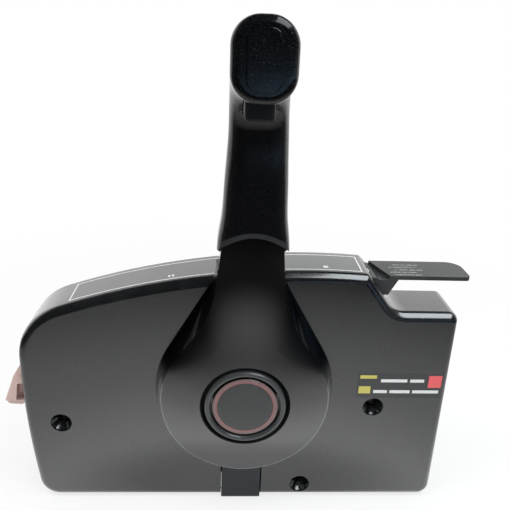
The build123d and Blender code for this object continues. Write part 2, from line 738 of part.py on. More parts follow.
with BuildPart() as control_lever:
    with BuildSketch(face_plane(hub_back)):
        add(hub_back_face)
    with BuildSketch(face_plane(hub_rim)):
        add(hub_front_face)
    loft(ruled=True)
    add(lever_front.part)
    # arm that carries the grip, with a groove for the lock rod and its spring
    with BuildSketch(Plane.XY.offset(neck_base_top - 4)):
        with Locations((0, -(arm_front + arm_back) / 2)):
            Rectangle(2 * arm_half_width, arm_front - arm_back)
    extrude(amount=arm_top - neck_base_top + 4)
    chamfer(control_lever.faces().sort_by(Axis.Z)[-1].edges().filter_by(Axis.Y), length=2)
    rod_groove = lock_rod_radius + lock_clearance
    with BuildSketch(Plane.XY.offset(neck_end)):
        with Locations((0, -lock_rod_depth)):
            Circle(rod_groove)
        with Locations((0, -lock_rod_depth - neck_end_front / 2)):
            Rectangle(2 * rod_groove, neck_end_front)
    extrude(amount=arm_top, mode=Mode.SUBTRACT)
    with BuildSketch(Plane.XY.offset(lock_spring_bottom - lock_collar_height - lock_clearance)):
        with Locations((0, -lock_rod_depth)):
            Circle(lock_collar_radius + lock_clearance)
        with Locations((0, -lock_rod_depth - neck_end_front / 2)):
            Rectangle(2 * (lock_collar_radius + lock_clearance), neck_end_front)
    extrude(amount=lock_spring_top + 0.3 - lock_spring_bottom + lock_collar_height + lock_clearance,
            mode=Mode.SUBTRACT)
    with BuildSketch(Plane.XY.offset(hub_recess_radius - 2)):
        with Locations((0, -lock_rod_depth)):
            Circle(rod_groove)
    extrude(amount=neck_end, mode=Mode.SUBTRACT)
    # hollow back of the hub round the lock ring, with a slot for the lock's tab
    with BuildSketch(face_plane(hub_back - 1)):
        Circle(hub_recess_radius)
        Circle(hub_boss_radius, mode=Mode.SUBTRACT)
    extrude(amount=hub_recess_floor - hub_back + 1, mode=Mode.SUBTRACT)
    tab_slot_bottom = lock_ring_outer - 1
    tab_slot_top = lock_tab_top + lock_travel + lock_clearance
    with BuildSketch(face_plane(hub_back - 1)):
        with Locations((0, (tab_slot_bottom + tab_slot_top) / 2)):
            Rectangle(2 * (lock_tab_half_width + lock_clearance), tab_slot_top - tab_slot_bottom)
    extrude(amount=lock_rod_depth + lock_rod_radius + lock_clearance - hub_back + 1, mode=Mode.SUBTRACT)
    with BuildSketch(face_plane(hub_back)):
        Circle(hub_boss_radius + 1)
    extrude(amount=bushing_flange_thickness + 2 * seat_gap + 0.3 - hub_gap, mode=Mode.SUBTRACT)
    with BuildSketch(face_plane(hub_back)):
        Circle(shaft_bore)
    extrude(amount=hub_side + dome_height, mode=Mode.SUBTRACT)
    # recess for the bezel and the button
    with BuildSketch(face_plane(bezel_recess_floor)):
        Circle(bezel_recess_radius)
    extrude(amount=hub_side, mode=Mode.SUBTRACT)
    with BuildSketch(Plane.XY.offset(-hub_boss_radius - 1)):
        with Locations((0, -(hub_back + hub_recess_floor) / 2 - 1)):
            Circle(set_screw_radius + seat_gap)
    extrude(amount=hub_boss_radius, mode=Mode.SUBTRACT)
    # tapped holes for the grip's screws
    with BuildSketch(face_plane(arm_back - 1)):
        with Locations((-grip_screw_spread, grip_screw_height), (grip_screw_spread, grip_screw_height)):
            Circle(grip_screw_radius + seat_gap)
    extrude(amount=arm_front - arm_back - 2, mode=Mode.SUBTRACT)
save(control_lever, "control_lever")

with BuildPart() as hub_set_screw:
    with BuildSketch(Plane.XY.offset(-hub_boss_radius + 0.2)):
        with Locations((0, -(hub_back + hub_recess_floor) / 2 - 1)):
            Circle(set_screw_radius)
    extrude(amount=hub_boss_radius - shaft_bore - 0.2)
    with BuildSketch(Plane.XY.offset(-hub_boss_radius + 0.2)):
        with Locations((0, -(hub_back + hub_recess_floor) / 2 - 1)):
            RegularPolygon(0.55 * set_screw_radius, 6)
    extrude(amount=1.5, mode=Mode.SUBTRACT)
save(hub_set_screw, "hub_set_screw")


# ---------------------------------------------------------------- grip
def grip_section(across, depth, height, tilt, half_width, thickness, corner):
    # A section across the grip's centre line, which turns from straight up to straight out.
    turn = radians(tilt)
    plane = Plane(origin=(across, -depth, height), x_dir=(1, 0, 0), z_dir=(0, -sin(turn), cos(turn)))
    with BuildSketch(plane) as section:
        RectangleRounded(2 * half_width, thickness, corner)
    return section.sketch


palm_height = (grip_bottom + grip_top) / 2
grip_end_height = (grip_end_bottom + grip_end_top) / 2
bend_reach = palm_depth - grip_mid_depth
bend_rise = palm_height - bend_start
collar_middle = (collar_bottom + collar_height) / 2
shank_middle = (waist_height + shank_height) / 2
shank_widths = ((collar_bottom, collar_half_width), (collar_middle, collar_half_width),
                (collar_height, collar_half_width), (waist_height, waist_half_width),
                (shank_middle, (waist_half_width + shank_half_width) / 2),
                (shank_height, shank_half_width), (bend_start, bend_half_width))
grip_sections = [grip_section(lean_at(height), grip_mid_depth, height, 0, half_width,
                              grip_shank_depth, grip_corner)
                 for height, half_width in shank_widths]
# round the bend each size passes evenly from the shank's to the palm's
for tilt in (22.5, 45, 67.5, 90):
    share = tilt / 90
    turn = radians(tilt)
    grip_sections.append(grip_section(
        lean_at(bend_start) + share * (palm_offset - lean_at(bend_start)),
        palm_depth - bend_reach * cos(turn), bend_start + bend_rise * sin(turn), tilt,
        bend_half_width + share * (palm_half_width - bend_half_width),
        grip_shank_depth + share * (grip_top - grip_bottom - grip_shank_depth),
        grip_corner + share * (grip_palm_corner - grip_corner)))
grip_sections.append(grip_section(0, grip_end_start, grip_end_height, 90, grip_end_half_width,
                                  grip_end_top - grip_end_bottom, grip_palm_corner))

arch_rise = sqrt(collar_arch_radius**2 - collar_half_width**2)
collar_arch_foot = collar_arch_top - collar_arch_radius + arch_rise
neck_cavity = neck_taper(collar_bottom - 1, neck_end + grip_clearance, grip_clearance)
with BuildPart() as grip_form:
    for section in grip_sections:
        add(section)
    loft()
    with BuildSketch(face_plane(grip_end_start)):
        with Locations((0, grip_end_height)):
            RectangleRounded(2 * grip_end_half_width, grip_end_top - grip_end_bottom, grip_palm_corner)
    extrude(amount=grip_length - grip_end_start)
    fillet(grip_form.faces().sort_by(Axis.Y)[0].edges(), radius=grip_end_radius)
    # the collar's lower edge: arched in front, falling to a point at each side
    with BuildSketch(Plane.YZ.offset(-2 * collar_half_width)):
        with BuildLine():
            Polyline((-grip_back_face - grip_shank_depth - 1, collar_bottom - 1),
                     (-grip_back_face + 1, collar_bottom - 1),
                     (-grip_back_face + 1, collar_flap_bottom), (-grip_mid_depth, collar_arch_foot),
                     (-grip_back_face - grip_shank_depth - 1, collar_arch_foot), close=True)
        make_face()
    extrude(amount=4 * collar_half_width, mode=Mode.SUBTRACT)
    with BuildSketch(face_plane(grip_mid_depth)):
        with Locations((lean_at(collar_arch_top), collar_arch_top - collar_arch_radius)):
            Circle(collar_arch_radius)
    extrude(amount=grip_shank_depth, mode=Mode.SUBTRACT)
    # room for the neck, the arm and the lock bar
    with BuildSketch(face_plane(neck_back - grip_clearance)):
        add(neck_cavity)
    extrude(amount=neck_end_front - neck_back + 2 * grip_clearance, mode=Mode.SUBTRACT)
    with BuildSketch(Plane.XY.offset(collar_bottom)):
        with Locations((0, -(arm_front + arm_back) / 2)):
            Rectangle(2 * (arm_half_width + grip_clearance), arm_front - arm_back + 2 * grip_clearance)
    extrude(amount=arm_top + grip_clearance - collar_bottom, mode=Mode.SUBTRACT)
    with BuildSketch(Plane.XY.offset(lock_bar_bottom - lock_clearance)):
        with Locations((0, -(lock_bar_front + lock_bar_back) / 2)):
            Rectangle(2 * (lock_bar_half_width + lock_clearance),
                      lock_bar_front - lock_bar_back + 2 * lock_clearance)
    extrude(amount=lock_bar_top + lock_travel - lock_bar_bottom + 2 * lock_clearance, mode=Mode.SUBTRACT)
    rod_back = lock_rod_depth - lock_rod_radius - lock_clearance
    with BuildSketch(Plane.XY.offset(arm_top)):
        with Locations((0, -(lock_bar_back + rod_back) / 2)):
            Rectangle(2 * (lock_web_half_width + lock_clearance), lock_bar_back - rod_back)
    extrude(amount=lock_web_top + lock_travel + lock_clearance - arm_top, mode=Mode.SUBTRACT)
    with BuildSketch(face_plane(grip_length + pad_proud - pad_depth)):
        with Locations((0, grip_end_height)):
            RectangleRounded(2 * (pad_half_width + seat_gap), 2 * (pad_half_height + seat_gap), pad_corner)
    extrude(amount=2 * pad_depth, mode=Mode.SUBTRACT)

# the seam between the grip's two halves runs parallel to its back, round the bend
seam_radius = palm_depth - grip_seam
with BuildPart() as grip_back_region:
    with BuildSketch(Plane.YZ.offset(-2 * collar_half_width)):
        with BuildLine():
            Polyline((-grip_seam, collar_bottom - 5), (0, collar_bottom - 5), (0, grip_top + 20),
                     (-palm_depth - 2, grip_top + 20), (-palm_depth - 2, bend_start + seam_radius),
                     (-palm_depth, bend_start + seam_radius))
            ThreePointArc((-palm_depth, bend_start + seam_radius),
                          (-palm_depth + seam_radius * cos(pi / 4), bend_start + seam_radius * sin(pi / 4)),
                          (-grip_seam, bend_start))
            Line((-grip_seam, bend_start), (-grip_seam, collar_bottom - 5))
        make_face()
    extrude(amount=4 * collar_half_width)

with BuildPart() as grip_front_half:
    add(grip_form.part)
    add(grip_back_region.part, mode=Mode.SUBTRACT)
save(grip_front_half, "grip_front_half")

with BuildPart() as grip_back_half:
    add(grip_form.part)
    add(grip_back_region.part, mode=Mode.INTERSECT)
    with BuildSketch(face_plane(0)):
        with Locations((-grip_screw_spread, grip_screw_height), (grip_screw_spread, grip_screw_height)):
            Circle(grip_screw_radius + seat_gap)
    extrude(amount=arm_front, mode=Mode.SUBTRACT)
    with BuildSketch(face_plane(0)):
        with Locations((-grip_screw_spread, grip_screw_height), (grip_screw_spread, grip_screw_height)):
            Circle(grip_screw_head_radius + seat_gap)
    extrude(amount=grip_back_face + 1.2, mode=Mode.SUBTRACT)
save(grip_back_half, "grip_back_half")

with BuildPart() as grip_screws:
    with BuildSketch(face_plane(grip_back_face + 0.2)):
        with Locations((-grip_screw_spread, grip_screw_height), (grip_screw_spread, grip_screw_height)):
            Circle(grip_screw_head_radius)
    extrude(amount=0.9)
    with BuildSketch(face_plane(grip_back_face + 1)):
        with Locations((-grip_screw_spread, grip_screw_height), (grip_screw_spread, grip_screw_height)):
            Circle(grip_screw_radius)
    extrude(amount=grip_mid_depth - grip_back_face)
save(grip_screws, "grip_screws")

with BuildPart() as grip_end_pad:
    with BuildSketch(face_plane(grip_length + pad_proud - pad_depth + seat_gap)):
        with Locations((0, grip_end_height)):
            RectangleRounded(2 * pad_half_width, 2 * pad_half_height, pad_corner)
    extrude(amount=pad_depth - seat_gap)
    fillet(grip_end_pad.faces().sort_by(Axis.Y)[0].edges(), radius=pad_proud)
save(grip_end_pad, "grip_end_pad")

# ---------------------------------------------------------------- neutral lock
with BuildPart() as neutral_lock_bar:
    with BuildSketch(Plane.XY.offset(lock_bar_bottom)):
        with Locations((0, -(lock_bar_front + lock_bar_back) / 2)):
            RectangleRounded(2 * lock_bar_half_width, lock_bar_front - lock_bar_back, 2)
    extrude(amount=lock_bar_top - lock_bar_bottom)
    fillet(neutral_lock_bar.faces().sort_by(Axis.Z)[0].edges(), radius=1.6)
    with BuildSketch(Plane.XY.offset(lock_bar_bottom)):
        with Locations((0, -(lock_bar_back + lock_rod_depth) / 2)):
            Rectangle(2 * lock_web_half_width, lock_bar_back - lock_rod_depth + 4)
    extrude(amount=lock_web_top - lock_bar_bottom)
save(neutral_lock_bar, "neutral_lock_bar")

with BuildPart() as lock_rod:
    with BuildSketch(Plane.XY.offset(lock_tab_top - 1)):
        with Locations((0, -lock_rod_depth)):
            Circle(lock_rod_radius)
    extrude(amount=lock_bar_bottom - lock_tab_top + 1)
    with BuildSketch(Plane.XY.offset(lock_spring_bottom - lock_collar_height)):
        with Locations((0, -lock_rod_depth)):
            Circle(lock_collar_radius)
    extrude(amount=lock_collar_height)
    with BuildSketch(face_plane(lock_tab_back)):
        with Locations((0, (lock_tab_bottom + lock_tab_top) / 2)):
            Rectangle(2 * lock_tab_half_width, lock_tab_top - lock_tab_bottom)
    extrude(amount=lock_rod_depth + lock_rod_radius - lock_tab_back)
save(lock_rod, "lock_rod")


def coil(radius, wire, turns, length, base):
    # A compression spring standing on the plane given.
    with BuildPart() as spring:
        with BuildLine() as path:
            Helix(pitch=(length - 2 * wire) / turns, height=length - 2 * wire, radius=radius)
        with BuildSketch(Plane(origin=path.line @ 0, z_dir=path.line % 0)):
            Circle(wire)
        sweep(path=path.line)
    spring.part = base.offset(wire).location * spring.part
    return spring


lock_spring = coil(lock_spring_radius, lock_spring_wire, lock_spring_turns,
                   lock_spring_top - lock_spring_bottom - 0.2,
                   Plane(origin=(0, -lock_rod_depth, lock_spring_bottom + 0.1)))
save(lock_spring, "lock_spring")

# ---------------------------------------------------------------- throttle-only button
with BuildPart() as button_bezel:
    with BuildSketch(face_plane(bezel_recess_floor + seat_gap)):
        Circle(bezel_outer)
        Circle(bezel_inner, mode=Mode.SUBTRACT)
    extrude(amount=bezel_front - bezel_recess_floor - seat_gap)
    fillet(button_bezel.faces().sort_by(Axis.Y)[0].edges(), radius=bezel_edge_radius)
save(button_bezel, "button_bezel")

with BuildPart() as throttle_only_button:
    with BuildSketch(face_plane(button_front - button_thickness)):
        Circle(button_radius)
    extrude(amount=button_thickness)
    fillet(throttle_only_button.faces().sort_by(Axis.Y)[0].edges(), radius=0.8)
    with BuildSketch(face_plane(button_front - button_ring_depth)):
        Circle(button_ring_outer)
        Circle(button_ring_inner, mode=Mode.SUBTRACT)
    extrude(amount=button_ring_depth, mode=Mode.SUBTRACT)
    with BuildSketch(face_plane(button_front - button_thickness)):
        Circle(button_pocket)
    extrude(amount=button_pocket_depth, mode=Mode.SUBTRACT)
    with BuildSketch(face_plane(button_stem_end)):
        Circle(button_stem_radius)
    extrude(amount=button_front - button_thickness + button_pocket_depth - button_stem_end)
save(throttle_only_button, "throttle_only_button")

with BuildPart() as button_ring:
    with BuildSketch(face_plane(button_front - button_ring_depth + seat_gap)):
        Circle(button_ring_outer - seat_gap)
        Circle(button_ring_inner + seat_gap, mode=Mode.SUBTRACT)
    extrude(amount=button_ring_depth - 2 * seat_gap)
save(button_ring, "button_ring")

button_spring_length = button_front - button_thickness + button_pocket_depth - bezel_recess_floor - 0.2
button_spring = coil(button_spring_radius, button_spring_wire, button_spring_turns,
                     button_spring_length, face_plane(bezel_recess_floor + 0.1))
save(button_spring, "button_spring")


# ---------------------------------------------------------------- gears
def tooth_half_angle(teeth, radius):
    # Half the angle an involute tooth fills at a radius, with the backlash taken off.
    pitch = gear_module * teeth / 2
    base = pitch * cos(radians(pressure_angle))
    slope = sqrt(max((radius / base)**2 - 1, 0))
    pitch_slope = tan(radians(pressure_angle))
    half_at_pitch = pi / (2 * teeth) - tooth_backlash / (4 * pitch)
    return half_at_pitch + (pitch_slope - radians(pressure_angle)) - (slope - atan2(slope, 1))


def polar(radius, angle):
    return (radius * cos(angle), radius * sin(angle))


def tooth(teeth, direction):
    # One gear tooth whose flanks are arcs through three points of the involute.
    pitch = gear_module * teeth / 2
    tip = pitch + gear_module
    root = pitch - 1.25 * gear_module
    foot = max(root, pitch * cos(radians(pressure_angle)))
    turn = radians(direction)
    reach = [(radius, tooth_half_angle(teeth, radius)) for radius in (foot, (foot + tip) / 2, tip)]
    left = [polar(radius, turn + half) for radius, half in reach]
    right = [polar(radius, turn - half) for radius, half in reach]
    low_left = polar(root - 0.5, turn + reach[0][1])
    low_right = polar(root - 0.5, turn - reach[0][1])
    with BuildSketch() as shape:
        with BuildLine():
            ThreePointArc(left[0], left[1], left[2])
            Line(left[2], right[2])
            ThreePointArc(right[2], right[1], right[0])
            Polyline(right[0], low_right, low_left, left[0])
        make_face()
    return shape.sketch


drive_gear_teeth = [tooth(drive_teeth, shift_pivot_angle + (index + 0.5) * 360 / drive_teeth)
                    for index in range(drive_teeth)]
with BuildPart() as drive_gear:
    with BuildSketch(face_plane(gear_back)):
        Circle(drive_radius - 1.25 * gear_module)
        add(drive_gear_teeth)
        add(double_d_bore, mode=Mode.SUBTRACT)
    extrude(amount=gear_thickness)
save(drive_gear, "drive_gear")

sector_direction = shift_pivot_angle - 180
sector_teeth = int(sector_half_angle * shift_teeth / 360)
shift_gear_teeth = [tooth(shift_teeth, sector_direction + index * 360 / shift_teeth)
                    for index in range(-sector_teeth, sector_teeth + 1)]
with BuildPart() as shift_gear:
    with BuildSketch(face_plane(gear_back)):
        Circle(shift_radius - 1.25 * gear_module)
        with BuildLine():
            Polyline((0, 0), polar(2 * shift_radius, radians(sector_direction - sector_half_angle)),
                     polar(2.9 * shift_radius, radians(sector_direction)),
                     polar(2 * shift_radius, radians(sector_direction + sector_half_angle)), close=True)
        make_face(mode=Mode.INTERSECT)
        add(shift_gear_teeth)
        Circle(shift_hub_radius)
        with Locations((0, -shift_arm_length / 2)):
            Rectangle(2 * shift_arm_half_width, shift_arm_length)
        with Locations((0, -shift_arm_length)):
            Circle(shift_arm_half_width)
            Circle(clevis_pin_radius + seat_gap, mode=Mode.SUBTRACT)
        Circle(shift_pivot_radius + running_fit, mode=Mode.SUBTRACT)
    extrude(amount=gear_thickness)
shift_gear.part = Pos(shift_pivot[0], 0, shift_pivot[1]) * shift_gear.part
save(shift_gear, "shift_gear")


def snap_ring(centre, groove_radius, back):
    # An open retaining ring, seated in a groove.
    inner = groove_radius + seat_gap
    with BuildPart() as ring:
        with BuildSketch(face_plane(back + seat_gap)):
            Circle(inner + clip_width)
            Circle(inner, mode=Mode.SUBTRACT)
            with BuildLine():
                Polyline((0, 0), polar(2 * inner + 4, radians(90 - clip_opening / 2)),
                         polar(2 * inner + 4, radians(90 + clip_opening / 2)), close=True)
            make_face(mode=Mode.SUBTRACT)
        extrude(amount=clip_thickness - 2 * seat_gap)
    ring.part = Pos(centre[0], 0, centre[1]) * ring.part
    return ring


shaft_clip = snap_ring((0, 0), shaft_radius - clip_groove, shaft_clip_back)
save(shaft_clip, "shaft_clip")

pivot_clip_back = gear_back + gear_thickness + 0.2
with BuildPart() as shift_pivot_pin:
    with BuildSketch(face_plane(cover_wall + 1 + seat_gap)):
        with Locations(shift_pivot):
            Circle(shift_pivot_radius)
    extrude(amount=pivot_clip_back + clip_thickness + 1.5 - cover_wall - 1)
    with BuildSketch(face_plane(pivot_clip_back)):
        with Locations(shift_pivot):
            Circle(shift_pivot_radius + 1)
            Circle(shift_pivot_radius - clip_groove, mode=Mode.SUBTRACT)
    extrude(amount=clip_thickness, mode=Mode.SUBTRACT)
save(shift_pivot_pin, "shift_pivot_pin")

pivot_clip = snap_ring(shift_pivot, shift_pivot_radius - clip_groove, pivot_clip_back)
save(pivot_clip, "pivot_clip")


def clevis_pin(point, back, length):
    # A headed pin that takes a cable's end.
    with BuildPart() as pin:
        with BuildSketch(face_plane(back)):
            with Locations(point):
                Circle(clevis_pin_radius)
        extrude(amount=length)
        with BuildSketch(face_plane(back)):
            with Locations(point):
                Circle(clevis_pin_radius + 1.2)
        extrude(amount=-1.5)
    return pin


shift_pin = clevis_pin((shift_pivot[0], shift_pivot[1] - shift_arm_length), gear_back - seat_gap,
                       shift_pin_length)
save(shift_pin, "shift_pin")

# ---------------------------------------------------------------- throttle arm, detent and neutral switch
throttle_pin_point = polar(throttle_arm_length, radians(throttle_arm_angle))
with BuildPart() as throttle_arm:
    with BuildSketch(face_plane(throttle_hub_back)):
        Circle(throttle_hub_radius)
    extrude(amount=throttle_arm_back + throttle_arm_thickness - throttle_hub_back)
    with BuildSketch(face_plane(throttle_arm_back)):
        with Locations(Location((0, 0, 0), throttle_arm_angle)):
            with Locations((throttle_arm_length / 2, 0)):
                Rectangle(throttle_arm_length, 2 * throttle_arm_half_width)
        with Locations(throttle_pin_point):
            Circle(throttle_arm_half_width)
    extrude(amount=throttle_arm_thickness)
    with BuildSketch(face_plane(throttle_hub_back)):
        add(double_d_bore)
        with Locations(throttle_pin_point):
            Circle(clevis_pin_radius + seat_gap)
    extrude(amount=throttle_arm_back, mode=Mode.SUBTRACT)
save(throttle_arm, "throttle_arm")

throttle_pin = clevis_pin(throttle_pin_point, throttle_arm_back - seat_gap, throttle_pin_length)
save(throttle_pin, "throttle_pin")

with BuildPart() as detent_plate:
    with BuildSketch(face_plane(detent_plate_back)):
        Circle(detent_plate_radius)
        for turn in (-detent_notch_step, 0, detent_notch_step):
            with Locations(polar(detent_plate_radius, radians(turn - 90))):
                Circle(detent_notch, mode=Mode.SUBTRACT)
        with Locations((detent_plate_radius, 0)):
            Circle(detent_notch, mode=Mode.SUBTRACT)
        add(double_d_bore, mode=Mode.SUBTRACT)
    extrude(amount=detent_plate_thickness)
save(detent_plate, "detent_plate")

leaf_ring = detent_post_radius + seat_gap
leaf_low = -detent_plate_radius - detent_gap - detent_spring_drop
leaf_high = leaf_low + detent_spring_bow
leaf_radius = (detent_spring_span**2 + detent_spring_bow**2) / (2 * detent_spring_bow)
with BuildPart() as detent_spring:
    with BuildSketch(face_plane(detent_plate_back)):
        with Locations((0, leaf_low + leaf_radius)):
            Circle(leaf_radius + detent_spring_thickness / 2)
            Circle(leaf_radius - detent_spring_thickness / 2, mode=Mode.SUBTRACT)
        with Locations((0, leaf_low)):
            Rectangle(2 * detent_spring_span, 4 * detent_spring_bow, mode=Mode.INTERSECT)
            Circle(detent_spring_drop)
        with Locations(*detent_posts):
            Circle(leaf_ring + detent_spring_thickness)
        with Locations(*detent_posts):
            Circle(leaf_ring, mode=Mode.SUBTRACT)
    extrude(amount=detent_plate_thickness)
save(detent_spring, "detent_spring")

with BuildPart() as neutral_switch:
    with BuildSketch(face_plane(switch_back + seat_gap)):
        with Locations((switch_middle, 0)):
            Rectangle(switch_width, switch_length)
    extrude(amount=switch_thickness)
    with BuildSketch(Plane.YZ.offset(switch_middle)):
        with Locations((-detent_plate_back - detent_plate_thickness / 2, 0)):
            Circle(switch_plunger_radius)
    extrude(amount=-(switch_width / 2 + 2))
save(neutral_switch, "neutral_switch")

# ---------------------------------------------------------------- cable anchors and grommet
with BuildPart() as cable_anchors:
    with BuildSketch(face_plane(cable_depth - anchor_length / 2)):
        with Locations((anchor_distance, throttle_anchor_height), (anchor_distance, shift_anchor_height)):
            Circle(anchor_radius)
    extrude(amount=anchor_length)
    with BuildSketch(Plane.YZ.offset(anchor_distance - 2 * anchor_radius)):
        with Locations((-cable_depth, throttle_anchor_height), (-cable_depth, shift_anchor_height)):
            Circle(anchor_bore)
    extrude(amount=4 * anchor_radius, mode=Mode.SUBTRACT)
save(cable_anchors, "cable_anchors")

grommet_middle = (throttle_anchor_height + shift_anchor_height) / 2
grommet_height = throttle_anchor_height - shift_anchor_height + 2 * grommet_end_margin
with BuildPart() as cable_grommet:
    with BuildSketch(Plane.YZ.offset(aft_end - cover_wall - grommet_flange - seat_gap)):
        with Locations((-cable_depth, grommet_middle)):
            SlotOverall(grommet_height + grommet_lip, 2 * grommet_half_width + grommet_lip, rotation=90)
    extrude(amount=grommet_flange)
    with BuildSketch(Plane.YZ.offset(aft_end - cover_wall - grommet_flange)):
        with Locations((-cable_depth, grommet_middle)):
            SlotOverall(grommet_height - 2 * seat_gap, 2 * (grommet_half_width - seat_gap), rotation=90)
    extrude(amount=cover_wall + 1.5 * grommet_flange)
    with BuildSketch(Plane.YZ.offset(aft_end + seat_gap)):
        with Locations((-cable_depth, grommet_middle)):
            SlotOverall(grommet_height + 2 * grommet_lip, 2 * (grommet_half_width + grommet_lip), rotation=90)
    extrude(amount=grommet_flange)
    fillet(cable_grommet.faces().sort_by(Axis.X)[-1].edges(), radius=0.8)
    with BuildSketch(Plane.YZ.offset(aft_end - 2 * cover_wall)):
        with Locations((-cable_depth, throttle_anchor_height), (-cable_depth, harness_height),
                       (-cable_depth, shift_anchor_height)):
            Circle(cable_hole)
    extrude(amount=4 * cover_wall, mode=Mode.SUBTRACT)
save(cable_grommet, "cable_grommet")

# ---------------------------------------------------------------- warm-up lever
warm_up_width = warm_up_front - warm_up_back
with BuildPart() as warm_up_lever:
    with BuildSketch(face_plane(warm_up_back)):
        with Locations(warm_up_pivot):
            Circle(warm_up_hub)
        with BuildLine():
            Polyline((warm_up_pivot[0], warm_up_top), (warm_up_end, warm_up_top),
                     (warm_up_end, warm_up_top - warm_up_thickness),
                     (warm_up_gusset, warm_up_top - warm_up_thickness), warm_up_tip,
                     (warm_up_pivot[0] + 4, warm_up_pivot[1] - 4.5), warm_up_pivot, close=True)
        make_face()
    extrude(amount=warm_up_width)
    outer_edges = warm_up_lever.edges().filter_by(Axis.Z).sort_by(Axis.X)[-2:].sort_by(Axis.Y)
    fillet(outer_edges[0], radius=warm_up_front_corner)
    fillet(outer_edges[1], radius=warm_up_back_corner)
    # the paddle's inboard end runs at a slant
    with BuildSketch(Plane.XY.offset(warm_up_top - warm_up_thickness)):
        with BuildLine():
            Polyline((warm_up_pivot[0] - 1, -warm_up_front),
                     (warm_up_pivot[0] + warm_up_slant_reach, -warm_up_front),
                     (warm_up_pivot[0] + 2, -warm_up_back), (warm_up_pivot[0] - 1, -warm_up_back), close=True)
        make_face()
    extrude(amount=warm_up_thickness, mode=Mode.SUBTRACT)
    with BuildSketch(face_plane(warm_up_back)):
        with Locations(warm_up_pivot):
            Circle(warm_up_hub)
    extrude(amount=warm_up_width)
    # seat of the crank, and the pivot's bore
    with BuildSketch(face_plane(warm_up_crank_back)):
        with Locations(warm_up_pivot):
            Circle(warm_up_hub + 0.1)
            Circle(warm_up_pin + 1.6, mode=Mode.SUBTRACT)
        with Locations((warm_up_pivot[0] + warm_up_hub, warm_up_pivot[1])):
            Rectangle(2 * warm_up_hub, 4 * warm_up_hub, mode=Mode.SUBTRACT)
    extrude(amount=warm_up_crank_thickness, mode=Mode.SUBTRACT)
    with BuildSketch(face_plane(0)):
        with Locations(warm_up_pivot):
            Circle(warm_up_pin + running_fit)
    extrude(amount=housing_front, mode=Mode.SUBTRACT)
save(warm_up_lever, "warm_up_lever")

with BuildPart() as warm_up_crank:
    with BuildSketch(face_plane(warm_up_crank_back + seat_gap)):
        with Locations(Location((warm_up_pivot[0], warm_up_pivot[1], 0), warm_up_crank_angle)):
            with Locations((warm_up_crank_length / 2, 0)):
                Rectangle(warm_up_crank_length, 2 * warm_up_crank_half_width)
            with Locations((warm_up_crank_length, 0)):
                Circle(warm_up_crank_half_width)
                Circle(0.4 * warm_up_crank_half_width, mode=Mode.SUBTRACT)
        with Locations(warm_up_pivot):
            Circle(warm_up_hub - 0.3)
            Circle(warm_up_pin + 1.7, mode=Mode.SUBTRACT)
        with Locations((warm_up_pivot[0] + warm_up_hub - 0.1, warm_up_pivot[1])):
            Rectangle(2 * warm_up_hub, 4 * warm_up_hub, mode=Mode.SUBTRACT)
    extrude(amount=warm_up_crank_thickness - 2 * seat_gap)
save(warm_up_crank, "warm_up_crank")

with BuildPart() as warm_up_pin_part:
    with BuildSketch(face_plane(rear_cover_depth + 0.3)):
        with Locations(warm_up_pivot):
            Circle(warm_up_pin)
    extrude(amount=inner_front - rear_cover_depth - 0.6)
save(warm_up_pin_part, "warm_up_pin")

# ---------------------------------------------------------------- stop switch
with BuildPart() as stop_switch_toggle:
    with BuildSketch(face_plane(stop_back)):
        with BuildLine():
            Polyline((stop_pivot[0], stop_crown), (stop_tip_top[0] + 3.5, stop_tip_top[1]), stop_tip_top,
                     stop_tip_bottom, (stop_tip_bottom[0] + 1.5, stop_foot + 0.5),
                     (stop_tip_top[0] + 3, stop_foot),
                     (stop_pivot[0], stop_pivot[1] - stop_barrel), close=True)
        make_face()
        with Locations(stop_pivot):
            Circle(stop_barrel)
    extrude(amount=stop_front - stop_back)
    fillet(stop_switch_toggle.edges().filter_by(Axis.Y).sort_by(Axis.X)[:2], radius=1.2)
    with BuildSketch(face_plane(stop_front - stop_hollow_depth)):
        with BuildLine():
            Polyline((stop_hollow_start[0], stop_hollow_top), (stop_hollow_start[1], stop_face_bottom),
                     (stop_hollow_end, stop_face_bottom), (stop_hollow_end, stop_hollow_top), close=True)
        make_face()
    extrude(amount=stop_hollow_depth, mode=Mode.SUBTRACT)
    with BuildSketch(face_plane(stop_front - stop_face_proud)):
        with Locations((stop_pivot[0], stop_face_bottom - stop_barrel)):
            Rectangle(2 * (stop_pivot[0] - stop_tip_bottom[0] + 1), 2 * stop_barrel)
    extrude(amount=stop_face_proud, mode=Mode.SUBTRACT)
    with BuildSketch(face_plane(stop_back)):
        with Locations(stop_pivot):
            Circle(stop_pin + running_fit)
    extrude(amount=stop_front - stop_back, mode=Mode.SUBTRACT)
save(stop_switch_toggle, "stop_switch_toggle")

stop_body_front = stop_front + 0.4 + stop_ear
stop_body_back = stop_back - 0.4 - stop_ear
with BuildPart() as stop_switch_body:
    with BuildSketch(face_plane(stop_body_back)):
        with Locations(((stop_body_start + stop_body_end) / 2, stop_pivot[1])):
            Rectangle(stop_body_end - stop_body_start, 2 * stop_body_half_height)
        with Locations(((stop_body_start + stop_pivot[0]) / 2, stop_pivot[1])):
            Rectangle(stop_body_start - stop_pivot[0], 4)
        with Locations(stop_pivot):
            Circle(2)
    extrude(amount=stop_body_front - stop_body_back)
    with BuildSketch(face_plane(stop_back - 0.4)):
        with Locations((stop_pivot[0] - 3, stop_pivot[1])):
            Rectangle(2 * (stop_body_start - stop_pivot[0] + 3), 4 * stop_body_half_height)
    extrude(amount=stop_front - stop_back + 0.8, mode=Mode.SUBTRACT)
    with BuildSketch(face_plane(stop_body_back)):
        with Locations(stop_pivot):
            Circle(stop_pin + seat_gap)
    extrude(amount=stop_body_front - stop_body_back, mode=Mode.SUBTRACT)
save(stop_switch_body, "stop_switch_body")

